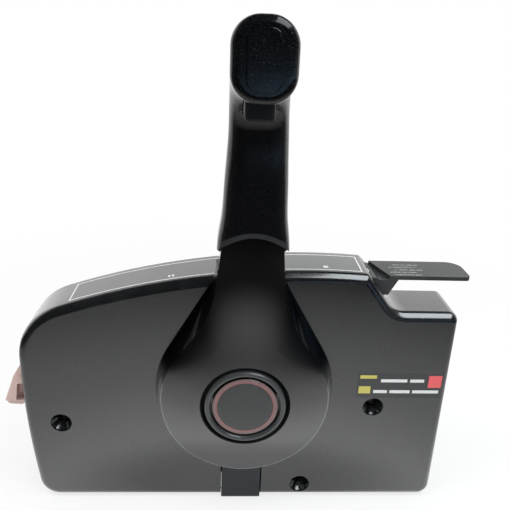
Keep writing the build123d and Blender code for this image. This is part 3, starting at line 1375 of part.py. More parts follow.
with BuildPart() as stop_switch_pin:
    with BuildSketch(face_plane(stop_body_back + 0.1)):
        with Locations(stop_pivot):
            Circle(stop_pin)
    extrude(amount=stop_body_front - stop_body_back - 0.2)
save(stop_switch_pin, "stop_switch_pin")
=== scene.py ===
import bpy
import bmesh
import math
from mathutils import Matrix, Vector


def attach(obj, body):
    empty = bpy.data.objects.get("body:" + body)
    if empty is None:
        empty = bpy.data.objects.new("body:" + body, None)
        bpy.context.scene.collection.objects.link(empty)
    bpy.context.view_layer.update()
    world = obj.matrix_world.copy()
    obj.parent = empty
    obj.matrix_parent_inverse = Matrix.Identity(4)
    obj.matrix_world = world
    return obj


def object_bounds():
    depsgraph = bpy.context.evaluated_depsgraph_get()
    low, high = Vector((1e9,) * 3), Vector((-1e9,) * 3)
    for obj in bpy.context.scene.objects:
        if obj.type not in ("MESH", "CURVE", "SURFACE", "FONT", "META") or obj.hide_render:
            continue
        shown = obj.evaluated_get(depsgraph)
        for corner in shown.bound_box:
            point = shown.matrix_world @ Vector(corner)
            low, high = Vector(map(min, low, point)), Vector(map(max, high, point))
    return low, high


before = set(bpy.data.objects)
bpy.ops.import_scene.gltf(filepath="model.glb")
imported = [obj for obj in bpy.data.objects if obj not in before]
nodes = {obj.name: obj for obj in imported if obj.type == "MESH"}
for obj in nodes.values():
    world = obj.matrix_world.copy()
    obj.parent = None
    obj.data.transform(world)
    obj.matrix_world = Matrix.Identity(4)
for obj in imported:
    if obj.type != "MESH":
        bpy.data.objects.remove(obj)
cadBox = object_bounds()
scene = bpy.context.scene
mm = 0.001
print("frame loaded:", len(nodes), "nodes")


# camera: looks down on the lever side from just left of the hub
view = {"place": (-0.0138, -0.3541, 0.2122), "turn": -3.14, "tilt": 21.61, "roll": 2.26, "lens": 42.18,
        "sensor": 36, "nearest": 0.01}
cameraData = bpy.data.cameras.new("camera")
cameraData.lens = view["lens"]
cameraData.sensor_width = view["sensor"]
cameraData.clip_start = view["nearest"]
camera = bpy.data.objects.new("camera", cameraData)
scene.collection.objects.link(camera)
aim = (Matrix.Rotation(math.radians(view["turn"]), 4, "Z")
       @ Matrix.Rotation(math.radians(90 - view["tilt"]), 4, "X")
       @ Matrix.Rotation(math.radians(view["roll"]), 4, "Z"))
camera.matrix_world = Matrix.Translation(view["place"]) @ aim
scene.camera = camera
print("camera placed")


# small helpers for node trees
edgeSamples = 4


def addNode(tree, kind, **settings):
    node = tree.nodes.new(kind)
    for key, value in settings.items():
        if key in node.inputs:
            node.inputs[key].default_value = value
        else:
            setattr(node, key, value)
    return node


def join(tree, source, target):
    tree.links.new(source, target)


def plug(tree, value, socket):
    # a number goes on the socket itself, an output is linked to it
    if isinstance(value, (int, float)):
        socket.default_value = value
    else:
        tree.links.new(value, socket)


def mathNode(tree, operation, first, second=None, clamp=False):
    node = addNode(tree, "ShaderNodeMath", operation=operation, use_clamp=clamp)
    plug(tree, first, node.inputs[0])
    if second is not None:
        plug(tree, second, node.inputs[1])
    return node.outputs[0]


def fold(tree, operation, values):
    # one value out of many: two at a time, from the first to the last
    total = values[0]
    for value in values[1:]:
        total = mathNode(tree, operation, total, value)
    return total


def product(tree, *values):
    return fold(tree, "MULTIPLY", values)


def greatest(tree, *values):
    return fold(tree, "MAXIMUM", values)


def distance(tree, first, second):
    # how far a point is from the middle, from its two coordinates
    squares = mathNode(tree, "ADD", product(tree, first, first), product(tree, second, second))
    return mathNode(tree, "SQRT", squares)


def spread(tree, value, low, high, toLow, toHigh, smooth=True):
    # carries low to high over to toLow to toHigh, and holds still beyond them
    node = addNode(tree, "ShaderNodeMapRange", interpolation_type="SMOOTHSTEP" if smooth else "LINEAR")
    tree.links.new(value, node.inputs["Value"])
    for key, number in (("From Min", low), ("From Max", high), ("To Min", toLow), ("To Max", toHigh)):
        node.inputs[key].default_value = number
    return node.outputs["Result"]


def rising(tree, value, low, high):
    # 0 below low and 1 above high, both in millimetres
    return spread(tree, value, low * mm, high * mm, 0.0, 1.0)


def falling(tree, value, low, high):
    return spread(tree, value, low * mm, high * mm, 1.0, 0.0)


def blendColour(tree, mask, first, second):
    # inputs 6 and 7 of a colour mix are its two colours, and output 2 is the blend
    node = addNode(tree, "ShaderNodeMix", data_type="RGBA")
    tree.links.new(mask, node.inputs["Factor"])
    for slot, colour in ((6, first), (7, second)):
        if isinstance(colour, tuple):
            node.inputs[slot].default_value = (*colour, 1)
        else:
            tree.links.new(colour, node.inputs[slot])
    return node.outputs[2]


def texture(tree, kind, position, output, **settings):
    node = addNode(tree, kind, **settings)
    join(tree, position, node.inputs["Vector"])
    return node.outputs[output]


def splitAxes(tree, vector):
    node = addNode(tree, "ShaderNodeSeparateXYZ")
    join(tree, vector, node.inputs[0])
    return node.outputs


def raised(tree, height, normal, strength, depth):
    bump = addNode(tree, "ShaderNodeBump", Strength=strength, Distance=depth)
    join(tree, height, bump.inputs["Height"])
    join(tree, normal, bump.inputs["Normal"])
    return bump.outputs["Normal"]


def softNormal(tree, radius):
    # the surface's direction as if its edges were rounded this much
    return addNode(tree, "ShaderNodeBevel", Radius=radius, samples=edgeSamples).outputs["Normal"]


def newGroup(name, inputs, outputs):
    # the position comes in as a vector, and everything else is a number
    group = bpy.data.node_groups.new(name, "ShaderNodeTree")
    for label in inputs:
        kind = "NodeSocketVector" if label == "Position" else "NodeSocketFloat"
        group.interface.new_socket(label, in_out="INPUT", socket_type=kind)
    for label in outputs:
        group.interface.new_socket(label, in_out="OUTPUT", socket_type="NodeSocketFloat")
    return group, group.nodes.new("NodeGroupInput").outputs, group.nodes.new("NodeGroupOutput").inputs


# orange peel: the low waves and fine pips of sprayed or moulded skins
peelLook = {"pipDetail": 3.0, "pipRoughness": 0.6, "waveScale": 130.0, "waveDetail": 1.0}
orangePeel, peelIn, peelOut = newGroup("orangePeel", ("Position", "Size", "Waves"), ("Height",))
pips = addNode(orangePeel, "ShaderNodeTexNoise", Detail=peelLook["pipDetail"],
               Roughness=peelLook["pipRoughness"])
join(orangePeel, peelIn["Position"], pips.inputs["Vector"])
join(orangePeel, peelIn["Size"], pips.inputs["Scale"])
waves = texture(orangePeel, "ShaderNodeTexNoise", peelIn["Position"], "Fac", Detail=peelLook["waveDetail"],
                Scale=peelLook["waveScale"])
waveHeight = product(orangePeel, waves, peelIn["Waves"])
join(orangePeel, mathNode(orangePeel, "ADD", pips.outputs["Fac"], waveHeight), peelOut["Height"])

# edge rub: a broken mask along outside edges, where paint wears thin
rubLook = {"flat": 0.995, "turned": 0.9, "patchScale": 220.0, "patchDetail": 4.0, "patches": (0.42, 0.62),
           "leastRub": 0.15}
edgeRub, rubIn, rubOut = newGroup("edgeRub", ("Position", "Width"), ("Mask",))
rounded = addNode(edgeRub, "ShaderNodeBevel", samples=edgeSamples)
join(edgeRub, rubIn["Width"], rounded.inputs["Radius"])
facing = addNode(edgeRub, "ShaderNodeVectorMath", operation="DOT_PRODUCT")
join(edgeRub, rounded.outputs["Normal"], facing.inputs[0])
join(edgeRub, addNode(edgeRub, "ShaderNodeNewGeometry").outputs["Normal"], facing.inputs[1])
nearEdge = spread(edgeRub, facing.outputs["Value"], rubLook["flat"], rubLook["turned"], 0.0, 1.0)
patches = texture(edgeRub, "ShaderNodeTexNoise", rubIn["Position"], "Fac", Scale=rubLook["patchScale"],
                  Detail=rubLook["patchDetail"])
patchy = spread(edgeRub, patches, *rubLook["patches"], rubLook["leastRub"], 1.0)
join(edgeRub, product(edgeRub, nearEdge, patchy), rubOut["Mask"])

# handling: soft cloudy marks left by hands and cloths
handlingLook = {"cloudDetail": 5.0, "cloudRoughness": 0.55, "cloudDistortion": 0.6, "clouds": (0.3, 0.7),
                "speckScale": 420.0, "specks": (0.03, 0.1)}
handling, handIn, handOut = newGroup("handling", ("Position", "Size"), ("Clouds", "Specks"))
clouds = addNode(handling, "ShaderNodeTexNoise", Detail=handlingLook["cloudDetail"],
                 Roughness=handlingLook["cloudRoughness"], Distortion=handlingLook["cloudDistortion"])
join(handling, handIn["Position"], clouds.inputs["Vector"])
join(handling, handIn["Size"], clouds.inputs["Scale"])
join(handling, spread(handling, clouds.outputs["Fac"], *handlingLook["clouds"], 0.0, 1.0), handOut["Clouds"])
specks = texture(handling, "ShaderNodeTexVoronoi", handIn["Position"], "Distance",
                 Scale=handlingLook["speckScale"])
join(handling, spread(handling, specks, *handlingLook["specks"], 1.0, 0.0), handOut["Specks"])

# leather grain: raised pebbles with creases between them
grainLook = {"wanderScale": 300.0, "wanderDetail": 2.0, "wanderReach": 0.0012, "unevenness": 0.9,
             "creaseWidth": 0.22}
leatherGrain, grainIn, grainOut = newGroup("leatherGrain", ("Position", "Size"), ("Height", "Crease"))
wander = texture(leatherGrain, "ShaderNodeTexNoise", grainIn["Position"], "Color",
                 Scale=grainLook["wanderScale"], Detail=grainLook["wanderDetail"])
shifted = addNode(leatherGrain, "ShaderNodeVectorMath", operation="MULTIPLY_ADD")
join(leatherGrain, wander, shifted.inputs[0])
shifted.inputs[1].default_value = (grainLook["wanderReach"],) * 3
join(leatherGrain, grainIn["Position"], shifted.inputs[2])
pebbles = addNode(leatherGrain, "ShaderNodeTexVoronoi", feature="DISTANCE_TO_EDGE",
                  Randomness=grainLook["unevenness"])
join(leatherGrain, shifted.outputs[0], pebbles.inputs["Vector"])
join(leatherGrain, grainIn["Size"], pebbles.inputs["Scale"])
crease = spread(leatherGrain, pebbles.outputs["Distance"], 0.0, grainLook["creaseWidth"], 1.0, 0.0)
join(leatherGrain, crease, grainOut["Crease"])
join(leatherGrain, mathNode(leatherGrain, "SUBTRACT", 1.0, crease), grainOut["Height"])

# print window: 1 inside a rectangle of a flat print, 0 outside, with ends this crisp in millimetres
printBlur = 0.06
printWindow, windowIn, windowOut = newGroup(
    "printWindow", ("Across", "Up", "Left", "Right", "Bottom", "Top"), ("Mask",))
steps = []
for coordinate, limit, side in (("Across", "Left", 1), ("Across", "Right", -1),
                                ("Up", "Bottom", 1), ("Up", "Top", -1)):
    beyond = mathNode(printWindow, "SUBTRACT", windowIn[coordinate], windowIn[limit])
    inward = mathNode(printWindow, "MULTIPLY", beyond, side)
    steps.append(rising(printWindow, inward, -printBlur, printBlur))
join(printWindow, product(printWindow, *steps), windowOut["Mask"])
print("shared effects built")


def placeGroup(tree, group, **inputs):
    node = addNode(tree, "ShaderNodeGroup", node_tree=group)
    for label, value in inputs.items():
        plug(tree, value, node.inputs[label])
    return node.outputs


def window(tree, across, up, left, right, bottom, top):
    return placeGroup(tree, printWindow, Across=across, Up=up, Left=left * mm, Right=right * mm,
                      Bottom=bottom * mm, Top=top * mm)["Mask"]


skinDefaults = {"cloudSize": 22.0, "rubWidth": 0.0007, "roughness": None, "speckGloss": 0.06,
                "metallic": 0.0, "specular": 0.5, "ior": 1.5, "coat": 0.0, "coatRoughness": 0.15,
                "grainSize": 900.0, "waves": 0.5, "edge": 0.0003, "relief": 0.25, "reliefDepth": 0.0001}


def startFinish(name):
    # an empty finish: its material, node tree, shader and object position
    material = bpy.data.materials.new(name)
    material.use_nodes = True
    tree = material.node_tree
    position = addNode(tree, "ShaderNodeTexCoord").outputs["Object"]
    return {"material": material, "tree": tree, "shader": tree.nodes["Principled BSDF"], "position": position}


def skin(name, chosen):
    # a painted or moulded skin: clouded colour, rubbed edges, uneven gloss and a fine relief
    look = {**skinDefaults, **chosen}
    finish = startFinish(name)
    tree, shader, position = finish["tree"], finish["shader"], finish["position"]
    marks = placeGroup(tree, handling, Position=position, Size=look["cloudSize"])
    rub = placeGroup(tree, edgeRub, Position=position, Width=look["rubWidth"])["Mask"]
    colour = blendColour(tree, marks["Clouds"], look["colour"], look["clouded"])
    colour = blendColour(tree, rub, colour, look["rubbed"])
    join(tree, colour, shader.inputs["Base Color"])
    if look["roughness"]:  # a finish without this pair gets its gloss beside its own marks
        gloss = spread(tree, marks["Clouds"], 0.0, 1.0, *look["roughness"])
        gloss = mathNode(tree, "ADD", gloss, mathNode(tree, "MULTIPLY", marks["Specks"], look["speckGloss"]))
        join(tree, gloss, shader.inputs["Roughness"])
    shader.inputs["Metallic"].default_value = look["metallic"]
    shader.inputs["Specular IOR Level"].default_value = look["specular"]
    shader.inputs["IOR"].default_value = look["ior"]
    shader.inputs["Coat Weight"].default_value = look["coat"]
    shader.inputs["Coat Roughness"].default_value = look["coatRoughness"]
    peel = placeGroup(tree, orangePeel, Position=position, Size=look["grainSize"], Waves=look["waves"])
    normal = raised(tree, peel["Height"], softNormal(tree, look["edge"]), look["relief"], look["reliefDepth"])
    join(tree, normal, shader.inputs["Normal"])
    finish["colour"] = colour
    return finish


def dress(names, finish):
    for name in names:
        materials = nodes[name].data.materials
        materials.clear()
        materials.append(finish["material"])


# case: glossy dark casting, painted black down the sides of the access cover's slot as painted shade of the
# seams
paintedShadeBlack = (0.0005, 0.0005, 0.0005)
housingPaint = {"colour": (0.0055, 0.006, 0.0065), "clouded": (0.008, 0.0087, 0.0095),
                "rubbed": (0.009, 0.0095, 0.0105), "roughness": (0.22, 0.32), "relief": 0.13,
                "grainSize": 1300.0, "waves": 0.9, "coat": 1.0, "coatRoughness": 0.1, "specular": 1.0,
                "ior": 1.56, "edge": 0.0004}
slotShadeLook = {"places": (-13.3, 12.8), "reach": (0.3, 0.45), "top": (-46.0, -45.0)}
finish = skin("housingPaint", housingPaint)
tree, shader, axes = finish["tree"], finish["shader"], splitAxes(finish["tree"], finish["position"])
# painted shade: beside the slot's sides and below its top, the case turns black, metallic and uncoated
sides = []
for place in slotShadeLook["places"]:
    away = mathNode(tree, "ABSOLUTE", mathNode(tree, "SUBTRACT", axes["X"], place * mm))
    sides.append(falling(tree, away, *slotShadeLook["reach"]))
slotShade = product(tree, greatest(tree, *sides), falling(tree, axes["Z"], *slotShadeLook["top"]))
join(tree, blendColour(tree, slotShade, finish["colour"], paintedShadeBlack), shader.inputs["Base Color"])
join(tree, mathNode(tree, "SUBTRACT", housingPaint["coat"], slotShade), shader.inputs["Coat Weight"])
join(tree, slotShade, shader.inputs["Metallic"])
dress(("front_cover",), finish)

# access cover: duller and a little bluer than the case, its sides painted black as painted shade of the seams
coverPaint = dict(housingPaint, colour=(0.006, 0.0115, 0.015), clouded=(0.008, 0.0135, 0.0175),
                  rubbed=(0.006, 0.009, 0.011), roughness=None, specular=0.25, ior=1.5, coat=0.9, edge=0.0002)
coverFace = {"left": (-13.0, -12.3), "right": (11.8, 12.5), "roughness": 0.27, "sideRoughness": 0.9}
finish = skin("coverPaint", coverPaint)
tree, shader, axes = finish["tree"], finish["shader"], splitAxes(finish["tree"], finish["position"])
# painted shade: beyond the face's left and right limits, the cover's sides turn black, uncoated and rough
flat = product(tree, rising(tree, axes["X"], *coverFace["left"]), falling(tree, axes["X"], *coverFace["right"]))
join(tree, blendColour(tree, flat, paintedShadeBlack, finish["colour"]), shader.inputs["Base Color"])
join(tree, mathNode(tree, "MULTIPLY", flat, coverPaint["coat"]), shader.inputs["Coat Weight"])
join(tree, spread(tree, flat, 0.0, 1.0, coverFace["sideRoughness"], coverFace["roughness"]),
     shader.inputs["Roughness"])
dress(("lower_access_cover",), finish)

# lever: black paint, made metallic and near black from the shoulders up as painted shade, a painted highlight
# along the hub's lower front edge and painted shade in the groove round the button; lengths in millimetres,
# radii from the shaft
leverPaint = {"colour": (0.004, 0.0042, 0.0045), "clouded": (0.006, 0.0063, 0.0067),
              "rubbed": (0.006, 0.0063, 0.0067), "relief": 0.12, "grainSize": 1500.0, "waves": 0.7,
              "coat": 1.0, "coatRoughness": 0.1, "specular": 1.0, "ior": 1.6, "edge": 0.0006}
neckShade = {"height": (42.0, 84.0), "flankFall": 40.0, "flankHeight": (5.0, 28.0), "coatLoss": 0.85}
hubPaintedLight = {"rimHighlight": (49.2, 49.9), "rimHeight": (6.0, 16.0), "rimDepth": (49.7, 50.0),
            "rimHighlightTone": (0.16, 0.165, 0.17), "ditchInner": (21.8, 22.0), "ditchOuter": (26.6, 26.8),
            "ditchDepth": (53.5, 54.0), "roughness": 0.2, "ditchRoughness": 0.85}
finish = skin("leverPaint", leverPaint)
tree, shader, axes = finish["tree"], finish["shader"], splitAxes(finish["tree"], finish["position"])
# painted shade: from the shoulders up, and further down towards the flanks, the lever turns metallic and near
# black and loses most of its coat
flank = mathNode(tree, "DIVIDE", product(tree, axes["X"], axes["X"]), neckShade["flankFall"] * mm)
flank = product(tree, flank, rising(tree, axes["Z"], *neckShade["flankHeight"]))
neckShadeMask = rising(tree, mathNode(tree, "ADD", axes["Z"], flank), *neckShade["height"])
radius = distance(tree, axes["X"], axes["Z"])
depth = mathNode(tree, "MULTIPLY", axes["Y"], -1.0)
# painted highlight: a pale line along the hub's lower front edge
rimHighlight = product(tree, rising(tree, radius, *hubPaintedLight["rimHighlight"]), falling(tree, axes["Z"], *hubPaintedLight["rimHeight"]),
              rising(tree, depth, *hubPaintedLight["rimDepth"]))
# painted shade: the groove round the button is black, uncoated and rough
ditchShade = product(tree, rising(tree, radius, *hubPaintedLight["ditchInner"]),
                falling(tree, radius, *hubPaintedLight["ditchOuter"]), rising(tree, depth, *hubPaintedLight["ditchDepth"]))
colour = blendColour(tree, rimHighlight, finish["colour"], hubPaintedLight["rimHighlightTone"])
join(tree, blendColour(tree, ditchShade, colour, paintedShadeBlack), shader.inputs["Base Color"])
join(tree, neckShadeMask, shader.inputs["Metallic"])
lost = mathNode(tree, "MULTIPLY", neckShadeMask, neckShade["coatLoss"])
painted = mathNode(tree, "SUBTRACT", leverPaint["coat"], lost)
join(tree, product(tree, painted, mathNode(tree, "SUBTRACT", 1.0, ditchShade)), shader.inputs["Coat Weight"])
join(tree, spread(tree, ditchShade, 0.0, 1.0, hubPaintedLight["roughness"], hubPaintedLight["ditchRoughness"]),
     shader.inputs["Roughness"])
dress(("control_lever",), finish)

# moulded plastics
blackMoulding = {"colour": (0.016, 0.017, 0.018), "clouded": (0.02, 0.021, 0.022),
                 "rubbed": (0.04, 0.04, 0.042), "roughness": (0.42, 0.55), "relief": 0.4, "grainSize": 2200.0}
dress(("rear_cover", "neutral_switch", "stop_switch_body"), skin("blackMoulding", blackMoulding))

bezelGrey = {"colour": (0.034, 0.037, 0.038), "clouded": (0.042, 0.045, 0.046),
             "rubbed": (0.08, 0.083, 0.086), "roughness": (0.3, 0.38), "relief": 0.1, "grainSize": 1800.0,
             "coat": 0.6, "coatRoughness": 0.12, "edge": 0.0004}
dress(("button_bezel",), skin("bezelGrey", bezelGrey))

# button: a dull rose ring with a thin redder line along its inner side, and the edge outside it painted near
# black as painted shade of the gap to the bezel; radii in millimetres
buttonBlack = {"colour": (0.014, 0.0155, 0.016), "clouded": (0.019, 0.021, 0.0215),
               "rubbed": (0.06, 0.062, 0.065), "roughness": (0.18, 0.28), "relief": 0.1, "grainSize": 1800.0,
               "coat": 1.0, "coatRoughness": 0.12, "edge": 0.0003}
# the outermost step paints the button's edge near black: painted shade of the gap to the bezel
redBand = {"steps": ((16.5, (0.22, 0.065, 0.063)), (17.2, (0.17, 0.1, 0.098)), (19.2, (0.008, 0.008, 0.009))),
           "blur": 0.08}
for name in ("button_ring", "throttle_only_button"):
    finish = skin(name + "_skin", buttonBlack)
    tree, axes, colour = finish["tree"], splitAxes(finish["tree"], finish["position"]), finish["colour"]
    radius = distance(tree, axes["X"], axes["Z"])
    for edge, tone in redBand["steps"]:
        outside = rising(tree, radius, edge - redBand["blur"], edge + redBand["blur"])
        colour = blendColour(tree, outside, colour, tone)
    join(tree, colour, finish["shader"].inputs["Base Color"])
    dress((name,), finish)

triggerGrey = {"colour": (0.005, 0.0054, 0.006), "clouded": (0.007, 0.0075, 0.008),
               "rubbed": (0.006, 0.0063, 0.007), "roughness": (0.45, 0.55), "relief": 0.35,
               "grainSize": 2000.0, "specular": 0.3, "edge": 0.0012}
dress(("neutral_lock_bar",), skin("triggerGrey", triggerGrey))

toggleRose = {"colour": (0.62, 0.44, 0.4), "clouded": (0.54, 0.38, 0.345), "rubbed": (0.74, 0.6, 0.56),
              "roughness": (0.4, 0.55), "relief": 0.3, "edge": 0.0004}
dress(("stop_switch_toggle",), skin("toggleRose", toggleRose))

nylon = {"colour": (0.62, 0.6, 0.53), "clouded": (0.56, 0.54, 0.47), "rubbed": (0.7, 0.68, 0.62),
         "roughness": (0.4, 0.5), "relief": 0.3}
dress(("front_bushing", "rear_bushing", "drive_gear", "detent_plate", "warm_up_crank"), skin("nylon", nylon))

rubber = {"colour": (0.018, 0.018, 0.019), "clouded": (0.024, 0.024, 0.025), "rubbed": (0.035, 0.035, 0.036),
          "roughness": (0.6, 0.75), "relief": 0.5, "grainSize": 1600.0}
dress(("cable_grommet",), skin("rubber", rubber))

# metals
castAlloy = {"colour": (0.5, 0.5, 0.51), "clouded": (0.42, 0.42, 0.43), "rubbed": (0.66, 0.66, 0.67),
             "roughness": (0.42, 0.55), "metallic": 1.0, "relief": 0.5, "grainSize": 1400.0}
dress(("neutral_lock_ring", "shift_gear", "throttle_arm"), skin("castAlloy", castAlloy))

turnedSteel = {"colour": (0.55, 0.55, 0.56), "clouded": (0.48, 0.48, 0.5), "rubbed": (0.7, 0.7, 0.71),
               "roughness": (0.22, 0.34), "metallic": 1.0, "relief": 0.15, "grainSize": 2600.0}
dress(("mounting_sleeves", "cover_screws", "main_shaft", "lock_ring_screws", "hub_set_screw", "grip_screws",
       "lock_rod", "shift_pivot_pin", "shift_pin", "throttle_pin", "warm_up_pin", "stop_switch_pin"),
      skin("turnedSteel", turnedSteel))

springSteel = {"colour": (0.38, 0.38, 0.4), "clouded": (0.32, 0.32, 0.34), "rubbed": (0.5, 0.5, 0.52),
               "roughness": (0.28, 0.4), "metallic": 1.0, "relief": 0.1}
dress(("shaft_clip", "lock_spring", "button_spring", "pivot_clip", "detent_spring"),
      skin("springSteel", springSteel))

brass = {"colour": (0.6, 0.43, 0.17), "clouded": (0.5, 0.35, 0.14), "rubbed": (0.72, 0.56, 0.28),
         "roughness": (0.28, 0.42), "metallic": 1.0, "relief": 0.15}
dress(("cable_anchors",), skin("brass", brass))
print("plain finishes done")


# scale strip: grey printed film with a white border and three small scale marks
stripFilm = {"colour": (0.11, 0.112, 0.11), "clouded": (0.125, 0.127, 0.125), "rubbed": (0.2, 0.2, 0.2),
             "roughness": (0.3, 0.38), "relief": 0.12, "grainSize": 1700.0, "coat": 0.5, "coatRoughness": 0.12}
stripPrint = {"white": (0.75, 0.75, 0.72), "line": 0.8, "margin": 0.9, "endMargin": 0.2, "left": -104.6,
              "right": 67.4, "front": -36.5, "back": -11.0, "markBack": -29.6, "markFront": -32.2,
              "marks": ((-46.6, -45.3), (-44.4, -43.1), (44.6, 47.4))}
finish = skin("stripFilm", stripFilm)
tree, axes = finish["tree"], splitAxes(finish["tree"], finish["position"])
frames = []
for inset in (0.0, stripPrint["line"]):
    ends, sides = stripPrint["endMargin"] + inset, stripPrint["margin"] + inset
    frames.append(window(tree, axes["X"], axes["Y"], stripPrint["left"] + ends, stripPrint["right"] - ends,
                         stripPrint["front"] + sides, stripPrint["back"] - sides))
border = mathNode(tree, "SUBTRACT", frames[0], frames[1], clamp=True)
marks = [window(tree, axes["X"], axes["Y"], left, right, stripPrint["markFront"], stripPrint["markBack"])
         for left, right in stripPrint["marks"]]
join(tree, blendColour(tree, greatest(tree, border, *marks), finish["colour"], stripPrint["white"]),
     finish["shader"].inputs["Base Color"])
dress(("scale_strip",), finish)

# warm-up lever: grained black moulding with a few worn pale bars printed on its paddle
paddleSkin = {"colour": (0.028, 0.029, 0.03), "clouded": (0.036, 0.037, 0.038), "rubbed": (0.08, 0.08, 0.082),
              "roughness": (0.36, 0.46), "relief": 0.45, "grainSize": 1500.0, "coat": 0.2, "edge": 0.0004}
paddlePrint = {"pale": (0.34, 0.34, 0.33), "thick": 1.3, "top": (73.7, 73.9), "wearScale": 1100.0,
               "wearDetail": 2.0, "wear": (0.42, 0.56), "leastInk": 0.1,
               "lines": ((86.5, 104.0, -33.0), (85.5, 101.5, -29.2), (88.5, 106.0, -25.4),
                         (86.0, 103.0, -21.6), (89.0, 105.0, -17.8))}
finish = skin("paddleSkin", paddleSkin)
tree, axes = finish["tree"], splitAxes(finish["tree"], finish["position"])
bars = greatest(tree, *[window(tree, axes["X"], axes["Y"], left, right, middle - paddlePrint["thick"] / 2,
                               middle + paddlePrint["thick"] / 2)
                        for left, right, middle in paddlePrint["lines"]])
worn = texture(tree, "ShaderNodeTexNoise", finish["position"], "Fac", Scale=paddlePrint["wearScale"],
               Detail=paddlePrint["wearDetail"])
ink = product(tree, bars, rising(tree, axes["Z"], *paddlePrint["top"]),
              spread(tree, worn, *paddlePrint["wear"], paddlePrint["leastInk"], 1.0))
join(tree, blendColour(tree, ink, finish["colour"], paddlePrint["pale"]), finish["shader"].inputs["Base Color"])
dress(("warm_up_lever",), finish)

# grip: soft black moulding with a leather grain, and a lip along the collar's arch that a bump bevels and a
# painted highlight makes paler
gripLeather = {"colour": (0.002, 0.0024, 0.0032), "crease": (0.001, 0.001, 0.0015), "roughness": (0.3, 0.44),
               "cloudSize": 30.0, "grainSize": 1050.0, "padGrain": 900.0, "relief": 1.0, "grainDepth": 0.0002,
               "edge": 0.0006, "specular": 0.1, "coat": 0.85, "coatRoughness": 0.12}
collarLip = {"centre": (1.1, 85.0), "radius": 24.0, "width": 3.0, "fall": 1.5, "tone": (0.03, 0.031, 0.033),
             "inner": (0.0, 0.3), "outer": (2.4, 3.0)}


def gripFinish(name, grainSize, withLip=False):
    finish = startFinish(name)
    tree, shader = finish["tree"], finish["shader"]
    grain = placeGroup(tree, leatherGrain, Position=finish["position"], Size=grainSize)
    marks = placeGroup(tree, handling, Position=finish["position"], Size=gripLeather["cloudSize"])
    colour = blendColour(tree, grain["Crease"], gripLeather["colour"], gripLeather["crease"])
    normal = raised(tree, grain["Height"], softNormal(tree, gripLeather["edge"]), gripLeather["relief"],
                    gripLeather["grainDepth"])
    if withLip:
        axes = splitAxes(tree, finish["position"])
        across = mathNode(tree, "SUBTRACT", axes["X"], collarLip["centre"][0] * mm)
        up = mathNode(tree, "SUBTRACT", axes["Z"], collarLip["centre"][1] * mm)
        beyond = mathNode(tree, "SUBTRACT", distance(tree, across, up), collarLip["radius"] * mm)
        slope = spread(tree, beyond, 0.0, collarLip["width"] * mm, 0.0, 1.0, smooth=False)
        normal = raised(tree, slope, normal, 1.0, collarLip["fall"] * mm)
        # painted highlight: a paler ring along the lip, standing in for the floor's reflection on its bevel
        lipHighlight = product(tree, rising(tree, beyond, *collarLip["inner"]),
                       falling(tree, beyond, *collarLip["outer"]))
        colour = blendColour(tree, lipHighlight, colour, collarLip["tone"])
    join(tree, colour, shader.inputs["Base Color"])
    join(tree, spread(tree, marks["Clouds"], 0.0, 1.0, *gripLeather["roughness"]), shader.inputs["Roughness"])
    shader.inputs["Specular IOR Level"].default_value = gripLeather["specular"]
    shader.inputs["Coat Weight"].default_value = gripLeather["coat"]
    shader.inputs["Coat Roughness"].default_value = gripLeather["coatRoughness"]
    join(tree, normal, shader.inputs["Normal"])
    return finish


dress(("grip_front_half",), gripFinish("gripLeather", gripLeather["grainSize"], withLip=True))
dress(("grip_back_half",), gripFinish("gripLeatherBack", gripLeather["grainSize"]))
dress(("grip_end_pad",), gripFinish("padLeather", gripLeather["padGrain"]))
print("printed and grained finishes done")


def addPiece(name, shape, material):
    mesh = bpy.data.meshes.new(name)
    shape.to_mesh(mesh)
    shape.free()
    mesh.materials.append(material)
    piece = bpy.data.objects.new(name, mesh)
    scene.collection.objects.link(piece)
    return piece


# marking patch: a thin black film on the cover with a plain red square and plain bars, each print
# a colour and its left, right, bottom and top limits in millimetres
marking = {"left": 70.0, "right": 123.4, "bottom": -6.4, "top": 12.6, "depth": 42.0, "sunk": 0.02, "lift": 0.06,
           "corner": 1.2, "cornerSteps": 5,
           "prints": (((0.05, 0.05, 0.055), ((70.6, 122.8, 11.9, 12.3),)),
                      ((0.72, 0.075, 0.08), ((114.6, 122.9, 1.2, 9.9),)),
                      ((0.66, 0.66, 0.65), ((84.6, 101.2, 5.0, 7.2), (103.0, 111.8, 5.0, 7.2),
                                            (80.6, 89.2, -2.9, -0.7), (90.8, 103.6, -2.9, -0.7),
                                            (105.2, 121.8, -2.9, -0.7))),
                      ((0.52, 0.46, 0.07), ((71.4, 81.8, 7.6, 10.0), (71.2, 78.6, -3.2, 2.0))))}
filmSkin = {"colour": (0.012, 0.013, 0.0145), "clouded": (0.016, 0.0175, 0.019), "rubbed": (0.03, 0.032, 0.035),
            "roughness": (0.24, 0.32), "relief": 0.05, "coat": 1.0, "coatRoughness": 0.12, "specular": 0.7,
            "edge": 0.00005, "rubWidth": 0.0001}
bm = bmesh.new()
width, height = marking["right"] - marking["left"], marking["top"] - marking["bottom"]
bmesh.ops.create_grid(bm, x_segments=1, y_segments=1, size=0.5)
bmesh.ops.scale(bm, vec=(width * mm, height * mm, 1), verts=bm.verts)
bmesh.ops.rotate(bm, cent=(0, 0, 0), matrix=Matrix.Rotation(math.radians(90), 3, "X"), verts=bm.verts)
bmesh.ops.translate(bm, vec=((marking["left"] + width / 2) * mm, -(marking["depth"] - marking["sunk"]) * mm,
                             (marking["bottom"] + height / 2) * mm), verts=bm.verts)
bmesh.ops.bevel(bm, geom=list(bm.verts), offset=marking["corner"] * mm, segments=marking["cornerSteps"],
                profile=0.5, affect="VERTICES", material=-1)
grown = bmesh.ops.extrude_face_region(bm, geom=list(bm.faces))
